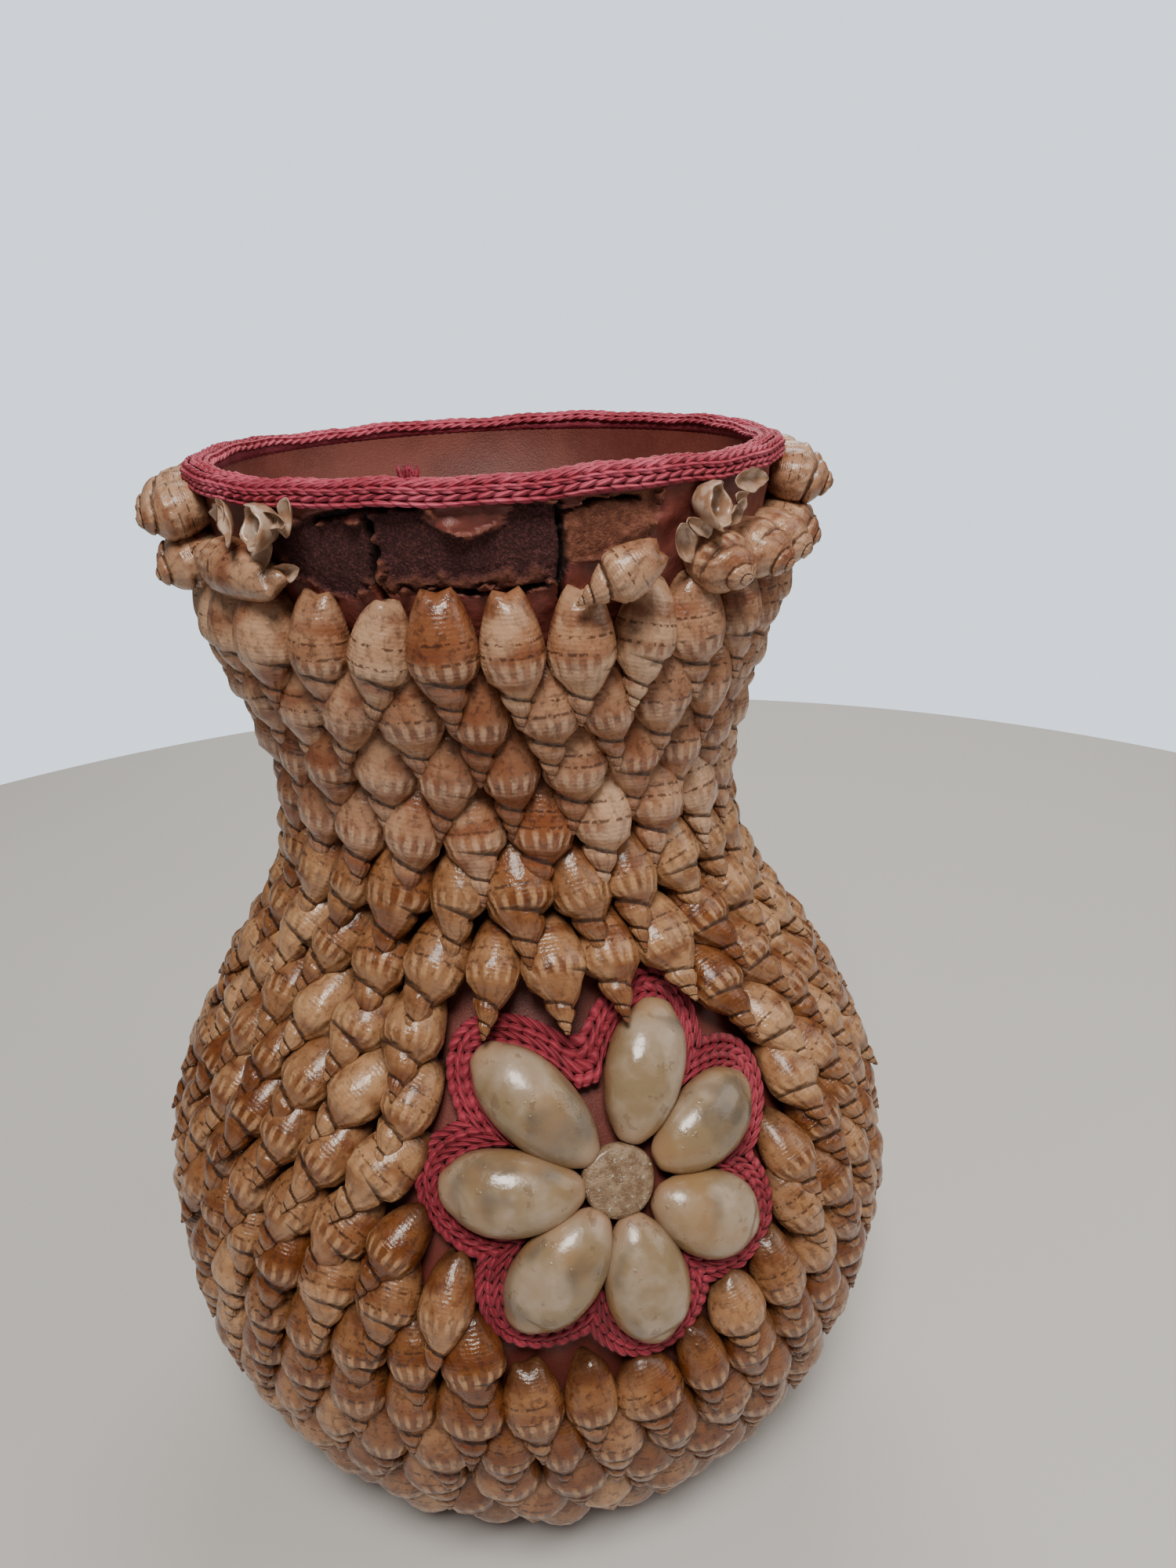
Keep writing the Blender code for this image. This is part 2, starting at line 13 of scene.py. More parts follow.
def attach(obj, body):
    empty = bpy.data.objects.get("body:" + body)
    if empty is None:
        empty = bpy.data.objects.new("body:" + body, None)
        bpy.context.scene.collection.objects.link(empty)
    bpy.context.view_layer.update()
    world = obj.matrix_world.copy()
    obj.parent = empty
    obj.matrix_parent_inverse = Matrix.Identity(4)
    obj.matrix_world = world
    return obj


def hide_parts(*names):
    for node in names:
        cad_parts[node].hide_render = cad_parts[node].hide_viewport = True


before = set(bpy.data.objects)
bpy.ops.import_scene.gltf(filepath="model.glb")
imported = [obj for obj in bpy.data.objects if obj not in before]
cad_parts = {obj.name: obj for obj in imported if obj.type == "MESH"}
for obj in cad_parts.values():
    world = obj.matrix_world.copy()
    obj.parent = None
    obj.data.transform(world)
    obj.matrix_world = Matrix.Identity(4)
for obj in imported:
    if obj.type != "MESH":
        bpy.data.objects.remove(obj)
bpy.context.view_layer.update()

bl_info = {
    "name": "Shell vase",
    "version": (1, 0, 0),
    "blender": (4, 5, 0),
    "location": "3D View > Sidebar > Shell vase",
    "description": "Builds the shells, cowrie flower, knitted braids and worn pot of a shell vase",
    "category": "Add Mesh",
}

# The pot's outline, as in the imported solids
LIP_Z = 0.2020
LIP_RADIUS = 0.0485
WAIST_Z = 0.1395
WAIST_RADIUS = 0.0326
BELLY_Z = 0.0600
BELLY_RADIUS = 0.0658
FOOT_RADIUS = 0.0390
WALL = 0.0040
FLOOR = 0.0060
SHOULDER_BIAS = 1.12
BASE_BIAS = 2.2
BED = 0.0012
SHELL_STAND = 0.0092

# The lip as it shows: its top, and how it sinks towards the back
LIP_TOP = 0.2010
LIP_DIP = 0.0006
DIP_FROM = 0.190
DIP_REACH = 0.011

# The bare front: half its turn in degrees, its lower end, and millimetres to a degree
FRONT_HALF = 62.0
BARE_BOTTOM = 0.1740
MM_PER_DEGREE = 0.80
INNER_CLAY = 0.10
# cracks in the coat: half width in mm, then corners in degrees and mm of height
CRACKS = (
    (0.55, ((-32.5, 198.6), (-31.6, 193.0), (-32.4, 189.0), (-30.5, 184.0))),
    (0.45, ((-42.0, 197.0), (-34.0, 198.6), (-24.0, 199.0))),
    (0.40, ((-0.6, 198.5), (0.4, 192.0), (0.0, 186.0), (0.6, 179.0))),
    (0.22, ((0.0, 197.2), (6.0, 198.4), (14.0, 198.0))),
    (0.22, ((-22.0, 187.0), (-12.0, 186.2), (-2.0, 187.0))),
)

# The rows
FIRST_ROW_Z = 0.1746
ROW_PITCH = 0.0109
ROW_COUNT = 17
GREY_ROWS = 4
SHELL_PITCH = 0.0109
LOW_ROWS_BELOW = 0.0400
LOW_SHELL_PITCH = 0.0135
PITCH_JITTER = 0.10
ROW_START = 0.02
TAIL_REACH = 0.0102
APEX_REACH = 0.0073
APEX_STAND = 0.0078
FLANK_UP = 0.0045
HEEL_UP = 0.0005
INTERFACE_SLOPE = (APEX_STAND - BED) / (APEX_REACH + HEEL_UP)
TURN_JITTER = 6.0
TAIL_STAND = 0.0017
TIP_EXTRA = 0.0010
WIDEST_CONCH = 0.0062
CONCH_HIGH = 0.0046
# degrees of lean, then the place's middle and half turn in degrees, its height and half height
LEANS = ((-42.0, -34.0, 20.0, 0.094, 0.016), (16.0, 22.0, 16.0, 0.080, 0.018),
         (-11.0, -45.0, 25.0, 0.150, 0.022))

# The collar under the lip and the single shells beside it
LOWER_RISE = 0.0126
UPPER_RISE = 0.0216
COLLAR_GAP = 0.0090
COLLAR_PITCH = 0.0104
COLLAR_REACH = 0.0104
COLLAR_FOOT = -0.0004
CHIPS_PER_CUP = 6
CHIP_STAND = 0.0022
# rings of a broken cup from its outer foot over the mouth and inside: radius, stand
CUP_RINGS = ((0.0010, 0.0003), (0.0028, 0.0008), (0.0042, 0.0024), (0.0048, 0.0044),
             (0.0049, 0.0064), (0.0050, 0.0074), (0.0047, 0.0074), (0.0045, 0.0062),
             (0.0043, 0.0044), (0.0037, 0.0026), (0.0024, 0.0014), (0.0006, 0.0011))

# The flower
FLOWER_Z = 0.0942
FLOWER_STAND = 0.0035
FLOWER_SPREAD = 1.04
COWRIE_COUNT = 7
COWRIE_FIRST_ANGLE = 63.0
COWRIE_STEP = -48.9
COWRIE_RING = 0.0172
COWRIE_LENGTH = 0.0214
COWRIE_WIDTH = 0.0132
BUTTON_RADIUS = 0.0062
BUTTON_HEIGHT = 0.0034
BRAID_WIDTH = 0.0045
BRAID_HEIGHT = 0.0022
FLOWER_CUSP = 0.0180
CLEARANCE = 0.0006
BRAID_OUTER = CLEARANCE + BRAID_WIDTH
COWRIE_SIZES = (0.99, 0.93, 0.95, 1.03, 1.04, 1.02, 1.05)
COWRIE_HIGH = 0.0078
# rings of the button: shares of its radius and height
BUTTON_RINGS = ((0.30, 0.0), (0.84, 0.0), (0.95, 0.22), (1.0, 0.50), (0.985, 0.74), (0.93, 0.90),
                (0.82, 0.965), (0.6, 0.99), (0.35, 1.0), (0.1, 1.0))

# The braids
INNER_CUSP = 0.0152
OUTER_SWELL = 0.0007
FLOWER_STRAND = 0.00056
STITCH_STAND = 0.0014
# core under the flower's stitches: share of the braid's width, stand
FLOWER_CORE = ((0.06, 0.0), (0.06, 0.0010), (0.30, 0.0014), (0.5, 0.0010), (0.70, 0.0014),
               (0.94, 0.0010), (0.94, 0.0))
LIP_STRAND = 0.00042
LIP_COLUMN = 0.00088
LIP_STITCH_STAND = 0.0003
# columns of stitches on the lip: radius, height, direction outwards and up
OUTER_COLUMNS = ((0.0497, 0.2000, 1.0, -0.1), (0.0496, 0.2015, 0.9, 0.6))
TOP_COLUMNS = ((0.0480, 0.2020, 0.0, 1.0), (0.0464, 0.2015, -0.8, 0.8))
# cores under them: radius, height
OUTER_CORE = ((0.0484, 0.1993), (0.0499, 0.1993), (0.0499, 0.2016), (0.0484, 0.2020))
TOP_CORE = ((0.0490, 0.2012), (0.0488, 0.2020), (0.0470, 0.2021), (0.0459, 0.2014),
            (0.0458, 0.1996), (0.0464, 0.1996), (0.0466, 0.2010))
TUFT_STRANDS = 14
TUFT_ANGLE = -26.0
TUFT_RADIUS = 0.0474
TUFT_Z = 0.2026
TUFT_LENGTH = 0.0021

# The stage: floor, world, lamps (place, size, power) and the photo's camera
FLOOR_RADIUS = 0.46
GLOW, GLOW_POWER = (1.0, 0.96, 0.91, 1.0), 0.13
BACKDROP, BACKDROP_POWER = (0.78, 0.88, 1.0, 1.0), 1.6
LAMP_COLOUR = (1.0, 0.94, 0.86)
LAMP_AIM = (0.0, 0.0, 0.11)
LAMPS = (("key", (-0.15, -0.50, 0.95), 0.32, 9.6), ("window", (0.70, -0.30, 0.60), 0.60, 2.2),
         ("rim", (0.3, 0.7, 0.7), 0.6, 4.0))
SENSOR_HEIGHT, LENS = 36.0, 27.0
CAMERA_TURN = -12.7
CAMERA_AXES = ((0.99555, -0.08686, -0.03643), (0.06707, 0.38222, 0.92163),
               (-0.06613, -0.91998, 0.38635))
CAMERA_PLACE = (0.0, -0.20977, 0.22483)


# Places on the wall

def wall_radius(z):
    if z >= WAIST_Z:
        along = (z - WAIST_Z) / (LIP_Z - WAIST_Z)
        return WAIST_RADIUS + (LIP_RADIUS - WAIST_RADIUS) * (1.0 - cos(pi * along)) / 2.0
    if z >= BELLY_Z:
        along = (z - BELLY_Z) / (WAIST_Z - BELLY_Z)
        share = (1.0 + cos(pi * along ** SHOULDER_BIAS)) / 2.0
        return WAIST_RADIUS + (BELLY_RADIUS - WAIST_RADIUS) * share
    along = (BELLY_Z - z) / BELLY_Z
    return FOOT_RADIUS + (BELLY_RADIUS - FOOT_RADIUS) * (1.0 - along ** BASE_BIAS)


def wall_normal(z):
    low, high = max(0.0, z - 0.0005), min(LIP_Z, z + 0.0005)
    slope = (wall_radius(high) - wall_radius(low)) / (high - low)
    size = hypot(1.0, slope)
    return 1.0 / size, -slope / size


def make_outline():
    """Arrays of way down, radius, height and outward direction from lip to foot."""
    rows = []
    down = 0.0
    before = None
    for i in range(161):
        z = LIP_Z * (160 - i) / 160
        out, up = wall_normal(z)
        crest = (wall_radius(z) + out * SHELL_STAND, z + up * SHELL_STAND)
        if before:
            down += hypot(crest[0] - before[0], crest[1] - before[1])
        rows.append((down, wall_radius(z), z, out, up, crest[0], crest[1]))
        before = crest
    return np.array(rows).T


DOWN, RADIUS, HEIGHT, OUT, UP, CREST_RADIUS, CREST_Z = make_outline()


def down_at(crest_z):
    return float(np.interp(-crest_z, -CREST_Z, DOWN))


def crest_radius_at(down):
    return np.interp(down, DOWN, CREST_RADIUS)


def spot(angle, down, stand):
    """Points at angles around the pot, ways down and heights above the wall."""
    far = np.interp(down, DOWN, RADIUS) + np.interp(down, DOWN, OUT) * stand
    height = np.interp(down, DOWN, HEIGHT) + np.interp(down, DOWN, UP) * stand
    far, height, angle = np.broadcast_arrays(far, height, angle)
    return around_axis(angle, far, height)


def rim_dip(angle, height):
    """How far the lip sinks towards the back of the pot."""
    return LIP_DIP * (1.0 - np.cos(angle)) * unit((height - DIP_FROM) / DIP_REACH)


def around_axis(angle, far, height):
    """Points at angles around the pot, distances from its axis and heights."""
    return np.stack((far * np.sin(angle), -far * np.cos(angle), height), -1)


FLOWER_DOWN = down_at(FLOWER_Z)


def flower_radius(down):
    radius = np.interp(down, DOWN, RADIUS)
    return radius + (crest_radius_at(down) - radius) * FLOWER_STAND / SHELL_STAND


def flower_spot(x, y, stand):
    """Points of the flower's own plane, laid around its middle."""
    down = FLOWER_DOWN - y * FLOWER_SPREAD
    return spot(x / flower_radius(down), down, stand)


def cowrie_angle(number):
    return radians(COWRIE_FIRST_ANGLE + COWRIE_STEP * number)


def flower_edge(theta, margin, cusp=FLOWER_CUSP):
    """Distance from the middle of the flower to an outline around its cowries."""
    half_length = COWRIE_LENGTH / 2.0 + margin
    half_width = COWRIE_WIDTH / 2.0 + margin
    edge = cusp + margin
    for number in range(COWRIE_COUNT):
        turn = theta - cowrie_angle(number)
        across = cos(turn) ** 2 / half_length ** 2 + sin(turn) ** 2 / half_width ** 2
        toward = COWRIE_RING * cos(turn) / half_length ** 2
        inside = toward ** 2 - across * (COWRIE_RING ** 2 / half_length ** 2 - 1.0)
        if inside > 0.0 and cos(turn) > 0.0:
            edge = max(edge, (toward + sqrt(inside)) / across)
    return edge


def flower_room(angle, down, margin):
    if abs(angle) > pi / 2.0:
        return 1.0
    along, rise = angle * flower_radius(down), (FLOWER_DOWN - down) / FLOWER_SPREAD
    return hypot(along, rise) - flower_edge(atan2(rise, along), margin)


def flower_side(down, side):
    edge = None
    above = FLANK_UP + CLEARANCE
    below = (BRAID_HEIGHT + 0.0003) / INTERFACE_SLOPE - HEEL_UP
    for i in range(13):
        level = down - above + (above + below) * i / 12.0
        for j in range(90):
            angle = side * radians(45.0 * (90 - j) / 90.0)
            if flower_room(angle, level, BRAID_OUTER + CLEARANCE) < 0.0:
                if edge is None or abs(angle) > abs(edge):
                    edge = angle
                break
    return edge


def lean(angle, height):
    """How far the shells at a place lean, apex towards +X at the front."""
    total = 0.0
    for degree, middle_turn, half_turn, middle_height, half_height in LEANS:
        aside = (degrees(angle) - middle_turn) / half_turn
        above = (height - middle_height) / half_height
        total += degree * exp(-aside ** 2 - above ** 2)
    return radians(total)


def row_angles(number, down, rng):
    """Angles between which the shells of a row lie, and the row's height."""
    radius = crest_radius_at(down)
    height = float(np.interp(down, DOWN, CREST_Z))
    pitch = LOW_SHELL_PITCH if height < LOW_ROWS_BELOW else SHELL_PITCH
    right, left = flower_side(down, 1.0), flower_side(down, -1.0)
    closed = right is None or left is None
    if closed:
        span = tau
        count = round(span * radius / pitch)
        start = number * pi / count + ROW_START
    else:
        margin = CLEARANCE / radius
        start = right + margin
        span = tau + left - right - 2.0 * margin
        count = round(span * radius / pitch)
    step = span / count
    angles = []
    for i in range(count if closed else count + 1):
        shift = rng.uniform(-PITCH_JITTER, PITCH_JITTER) * step
        if not closed and i in (0, count):
            shift = 0.0
        angles.append(start + step * i + shift)
    if closed:
        angles.append(angles[0] + tau)
    return angles, height


def unit(value):
    """A value held between 0 and 1."""
    return np.clip(value, 0.0, 1.0)


def wrapped(angle):
    return (angle + pi) % tau - pi


def clear_reach(angle, down, turn, reach, way, margin):
    for i in range(20):
        part = reach * (1.0 - i / 20.0)
        at = wrapped(angle + way * sin(turn) * part / crest_radius_at(down))
        if flower_room(at, down + way * cos(turn) * part, margin) > 0.0:
            return part
    return reach / 20.0


# Mesh helpers

def add_object(name, data):
    made = bpy.data.objects.new(name, data)
    bpy.context.scene.collection.objects.link(made)
    return made


class Batch:
    """Gathers many closed grids of points into one mesh, with two UV maps."""

    def __init__(self):
        self.points, self.corners, self.sizes = [], [], []
        self.whorl, self.around = [], []
        self.count = 0

    def add(self, grid, whorl=None, around=None, poles=True):
        """A grid of rings by sides, each ring closed on itself; ends get a pole."""
        rings, sides = grid.shape[:2]
        row, col = np.meshgrid(np.arange(rings - 1), np.arange(sides), indexing="ij")
        row, col = row.ravel(), col.ravel()
        after = (col + 1) % sides
        quads = np.stack((row * sides + col, row * sides + after,
                          (row + 1) * sides + after, (row + 1) * sides + col), 1)
        self.corners.append(quads.ravel() + self.count)
        self.sizes.append(np.full(len(quads), 4))
        points = [grid.reshape(-1, 3)]
        u = [np.stack((col, col + 1, col + 1, col), 1).ravel()]
        v = [np.stack((row, row, row + 1, row + 1), 1).ravel()]
        if poles:
            here = np.arange(sides)
            then = (here + 1) % sides
            total = rings * sides
            points += [grid[:1].mean(1), grid[-1:].mean(1)]
            start = np.stack((then, here, np.full(sides, total)), 1)
            end = np.stack((here, then, np.full(sides, total + 1)), 1)
            end[:, :2] += (rings - 1) * sides
            self.corners += [start.ravel() + self.count, end.ravel() + self.count]
            self.sizes.append(np.full(2 * sides, 3))
            u += [np.stack((here + 1, here, here), 1).ravel(), np.stack((here, here + 1, here), 1).ravel()]
            v += [np.zeros(3 * sides, int), np.full(3 * sides, rings - 1)]
        points = np.concatenate(points)
        u, v = np.concatenate(u), np.concatenate(v)
        for chosen, store in ((whorl, self.whorl), (around, self.around)):
            store.append(chosen[v, u] if chosen is not None else np.zeros((len(u), 2)))
        self.points.append(points)
        self.count += len(points)

    def build(self, name, look):
        """The object of all grids so far, with faces turned outwards and smooth."""
        mesh = bpy.data.meshes.new(name)
        points = np.concatenate(self.points)
        corners = np.concatenate(self.corners)
        counts = np.concatenate(self.sizes)
        mesh.vertices.add(len(points))
        mesh.vertices.foreach_set("co", points.astype(np.float32).ravel())
        mesh.loops.add(len(corners))
        mesh.loops.foreach_set("vertex_index", corners.astype(np.int32))
        mesh.polygons.add(len(counts))
        starts = np.concatenate(([0], np.cumsum(counts)[:-1]))
        mesh.polygons.foreach_set("loop_start", starts.astype(np.int32))
        mesh.polygons.foreach_set("loop_total", counts.astype(np.int32))
        mesh.update(calc_edges=True)
        for label, store in (("whorl", self.whorl), ("around", self.around)):
            layer = mesh.uv_layers.new(name=label)
            layer.data.foreach_set("uv", np.concatenate(store).astype(np.float32).ravel())
        bm = bmesh.new()
        bm.from_mesh(mesh)
        bmesh.ops.recalc_face_normals(bm, faces=bm.faces)
        bm.to_mesh(mesh)
        bm.free()
        mesh.shade_smooth()
        made = add_object(name, mesh)
        made.data.materials.append(look)
        return made


def settle(piece, slot, *nodes):
    """Let a piece ride with the vase and stand for its solids; its slot is not used."""
    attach(piece, "root")
    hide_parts(*nodes)


def value_noise(x, y, seed):
    """Smooth noise between -1 and 1 over two arrays of coordinates."""
    table = np.random.default_rng(seed).uniform(-1.0, 1.0, (64, 64))
    ix, iy = np.floor(x).astype(int), np.floor(y).astype(int)
    fx, fy = x - ix, y - iy
    fx, fy = fx * fx * (3.0 - 2.0 * fx), fy * fy * (3.0 - 2.0 * fy)
    a, b = table[ix % 64, iy % 64], table[(ix + 1) % 64, iy % 64]
    c, d = table[ix % 64, (iy + 1) % 64], table[(ix + 1) % 64, (iy + 1) % 64]
    return (a * (1 - fx) + b * fx) * (1 - fy) + (c * (1 - fx) + d * fx) * fy


# Shader maths

class Sock:
    """A shader value that can be added, subtracted and multiplied in plain Python."""

    def __init__(self, look, link):
        self.look, self.link = look, link

    def __add__(self, other):
        return self.look.math("ADD", self, other)

    def __sub__(self, other):
        return self.look.math("SUBTRACT", self, other)

    def __rsub__(self, other):
        return self.look.math("SUBTRACT", other, self)

    def __mul__(self, other):
        return self.look.math("MULTIPLY", self, other)

    __radd__ = __add__
    __rmul__ = __mul__


class Look:
    """A procedural material under construction."""

    def __init__(self, name, roughness, coat=0.0, sheen=0.0):
        self.made = bpy.data.materials.new(name)
        self.made.use_nodes = True
        self.tree = self.made.node_tree
        self.shader = self.tree.nodes["Principled BSDF"]
        self.shader.inputs["Roughness"].default_value = roughness
        self.shader.inputs["Coat Weight"].default_value = coat
        self.shader.inputs["Coat Roughness"].default_value = 0.12
        self.shader.inputs["Sheen Weight"].default_value = sheen
        self.coords = self.node("ShaderNodeTexCoord").outputs["Object"]

    def plug(self, socket, value):
        """Link a value to an input, or set the input to a number, vector or colour."""
        if isinstance(value, Sock):
            value = value.link
        if isinstance(value, bpy.types.NodeSocket):
            self.tree.links.new(value, socket)
        elif socket.type == "RGBA":
            socket.default_value = (*value[:3], 1.0)
        else:
            socket.default_value = value

    def node(self, kind, inputs=None, **settings):
        made = self.tree.nodes.new(kind)
        for key, value in settings.items():
            setattr(made, key, value)
        for key, value in (inputs or {}).items():
            self.plug(made.inputs[key], value)
        return made

    def math(self, operation, first, second=0.0):
        made = self.node("ShaderNodeMath", {0: first, 1: second}, operation=operation)
        return Sock(self, made.outputs[0])

    def uv(self, name):
        layer = self.node("ShaderNodeUVMap", uv_map=name)
        split = self.node("ShaderNodeSeparateXYZ", {0: layer.outputs[0]})
        return Sock(self, split.outputs[0]), Sock(self, split.outputs[1])

    def attribute(self, name):
        made = self.node("ShaderNodeAttribute", attribute_name=name)
        split = self.node("ShaderNodeSeparateColor", {0: made.outputs["Color"]})
        return [Sock(self, split.outputs[i]) for i in range(3)]

    def noise(self, scale, detail=3.0, rough=0.55, stretch=None):
        where = self.coords
        if stretch:
            where = self.node("ShaderNodeMapping", {"Vector": where, "Scale": stretch}).outputs[0]
        inputs = {"Vector": where, "Scale": scale, "Detail": detail, "Roughness": rough}
        made = self.node("ShaderNodeTexNoise", inputs)
        return Sock(self, made.outputs[0])

    def step(self, value, low, high):
        inputs = {"Value": value, "From Min": low, "From Max": high}
        made = self.node("ShaderNodeMapRange", inputs, interpolation_type="SMOOTHSTEP")
        return Sock(self, made.outputs[0])

    def cloud(self, low, high, *noise, **more):
        """Noise drawn out into patches between 0 and 1."""
        return self.step(self.noise(*noise, **more), low, high)

    def mix(self, share, first, second):
        made = self.node("ShaderNodeMix", {0: share, 6: first, 7: second}, data_type="RGBA")
        return Sock(self, made.outputs[2])

    def layers(self, colour, *coats):
        """A colour with others laid over it in turn, each by its share."""
        for share, coat in coats:
            colour = self.mix(share, colour, coat)
        return colour

    def bump(self, height, distance, strength):
        made = self.node("ShaderNodeBump", {"Height": height, "Distance": distance, "Strength": strength})
        self.plug(self.shader.inputs["Normal"], made.outputs[0])

    def feed(self, socket, value):
        self.plug(self.shader.inputs[socket], value)


def conch_look(name, tan, pale, dark, tail=0.70):
    """Varnished conch: mottled tan with dark sutures, dashed bands and fine ribs; cream knobs with a
    painted highlight on the shoulder ribs, and painted shade towards the tail.
    """
    look = Look(name, 0.36, coat=0.22)
    phase, along = look.uv("whorl")
    turn, tone = look.uv("around")
    spire = 1.0 - look.step(along, 0.42, 0.47)
    body = 1.0 - spire
    knob = look.step(along, 0.40, 0.46) * (1.0 - look.step(along, 0.50, 0.60))
    suture = (1.0 - look.step(look.math("FRACT", phase), 0.02, 0.20)) * spire
    mottle = look.cloud(0.36, 0.66, 300.0, 4.0, 0.6)
    blotch = look.cloud(0.42, 0.62, 110.0)
    fleck = look.cloud(0.52, 0.64, 850.0, 3.0, 0.6)
    dash = look.cloud(0.46, 0.55, 1100.0, 1.0)
    streak = look.math("SINE", turn * (tau * 9.0) + along * 14.0 + mottle * 3.0)
    ribs = look.math("SINE", turn * (tau * 14.0) + along * 5.0)
    cords = look.math("SINE", along * (tau * 30.0) + turn * tau)
    sweep = look.math("SINE", along * (tau * 3.4) + tone * 9.0 + mottle * 0.8)
    # two values that differ from shell to shell
    own, other = look.math("FRACT", tone * 41.3), look.math("FRACT", tone * 97.7)
    upper = 1.0 - look.step(look.math("ABSOLUTE", along - own * 0.06 - 0.54), 0.005, 0.020)
    lower = 1.0 - look.step(look.math("ABSOLUTE", along - other * 0.08 - 0.64), 0.005, 0.016)
    warm = [tan[0] * 0.74, tan[1] * 0.52, tan[2] * 0.45]
    rust = [tan[0] * 1.10, tan[1] * 0.90, tan[2] * 0.60]
    look.feed("Base Color", look.layers(
        look.mix(tone, tan, pale),
        (look.step(own, 0.5, 0.9) * 0.55, rust),
        (look.step(sweep, 0.0, 1.0) * 0.62, warm),
        (mottle * 0.42, warm),
        (blotch * (0.16 + tone * 0.75), pale),
        # cream knobs, with a painted highlight on the rib crests
        (knob * look.step(ribs + mottle, 0.1, 1.2) * 0.75, pale),
        (look.step(streak, 0.55, 1.0) * mottle * 0.38, dark),
        (fleck * (0.28 + body * 0.22) * (1.0 - tone * 0.5), dark),
        ((upper + lower) * dash * body * look.step(other, 0.2, 0.5) * 0.75, dark),
        (suture * 0.85, dark),
        # painted shade towards the tail, where it lies under the row above; tail sets how dark
        (look.step(along, 0.76, 1.0) * tail, dark)))
    look.feed("Roughness", 0.23 + mottle * 0.16 + suture * 0.3)
    relief = ribs * (knob + spire * 0.4) * 0.35 + cords * 0.045 + look.noise(340.0, 4.0, 0.6) * 2.0
    look.bump(relief - suture * 2.0, 0.00032, 0.75)
    return look.made


def cowrie_look():
    """Glossy cowrie: cream with clouds and grey smoke, browner at its rim and ends."""
    look = Look("cowrie_glossy", 0.20, coat=0.30)
    along, rise = look.uv("whorl")[0], look.uv("around")[0]
    sand, cream, grey = (0.27, 0.190, 0.105), (0.47, 0.370, 0.285), (0.105, 0.090, 0.078)
    edge, tip, brown = (0.21, 0.105, 0.050), (0.40, 0.25, 0.16), (0.16, 0.10, 0.06)
    olive, amber = (0.29, 0.200, 0.115), (0.34, 0.185, 0.070)
    cloud = look.cloud(0.40, 0.60, 110.0)
    smoke = look.cloud(0.50, 0.62, 85.0, 2.0, 0.5, stretch=(1.0, 1.3, 0.8))
    speck = look.cloud(0.60, 0.66, 420.0)
    mottle = look.cloud(0.40, 0.62, 290.0, 4.0, 0.6)
    blush = look.cloud(0.50, 0.66, 60.0, 2.0, 0.5, stretch=(1.2, 1.0, 0.9))
    rim = 1.0 - look.step(rise, 0.10, 0.60)
    ends = look.step(look.math("ABSOLUTE", along), 0.72, 0.97)
    look.feed("Base Color", look.layers(
        look.mix(cloud * 0.7, sand, cream),
        (smoke * 0.70 * look.step(rise, 0.1, 0.6), grey),
        (rim * 0.85, edge),
        (ends * 0.6, tip),
        (speck * 0.5, brown),
        (mottle * 0.35, olive),
        (blush * 0.5, amber)))
    look.feed("Roughness", 0.22 + cloud * 0.10 + rim * 0.15)
    look.bump(look.noise(150.0, 4.0) * 1.6 + speck * 0.2, 0.0004, 0.6)
    return look.made


def button_look():
    """Grainy beige disc with pale specks."""
    look = Look("button_beige", 0.40, coat=0.3)
    brown, beige, white = (0.17, 0.10, 0.055), (0.31, 0.215, 0.135), (0.50, 0.43, 0.34)
    grain = look.cloud(0.35, 0.65, 420.0, 4.0, 0.7)
    speck = look.cloud(0.60, 0.68, 1100.0, 2.0)
    look.feed("Base Color", look.layers(look.mix(grain, brown, beige), (speck * 0.8, white)))
    look.feed("Roughness", 0.30 + grain * 0.2)
    look.bump(grain + speck, 0.00025, 0.7)
    return look.made


def braid_look(name, deep, bright):
    """Knitted yarn: worn patches, fibres and twisted plies, with painted shade in the grooves between
    plies and at the stitch ends.
    """
    look = Look(name, 0.60, sheen=0.06)
    lint = [1.2 * bright[0], 1.6 * bright[1], 1.3 * bright[2]]
    groove_shade, shade = (0.10, 0.004, 0.010), (0.06, 0.002, 0.006)
    fibre = look.noise(900.0, 3.0, 0.6, stretch=(1.0, 1.0, 2.5))
    worn = look.cloud(0.40, 0.65, 120.0, 2.0)
    twist, along = look.uv("whorl")
    strand = look.math("SINE", twist * (tau * 3.0) + along * 7.0)
    ends = look.step(look.math("ABSOLUTE", along - 0.5), 0.30, 0.50)
    look.feed("Base Color", look.layers(
        look.mix(worn, deep, bright),
        (look.step(fibre, 0.50, 0.72) * 0.4, lint),
        # painted shade in the grooves between the plies
        (look.step(0.0 - strand, 0.3, 1.0) * 0.4, groove_shade),
        # painted shade at the stitch ends, where they tuck under their neighbours
        (ends * 0.55, shade)))
    look.feed("Roughness", 0.50 + fibre * 0.3)
    look.bump(strand * 0.6 + fibre, 0.00025, 0.8)
    return look.made


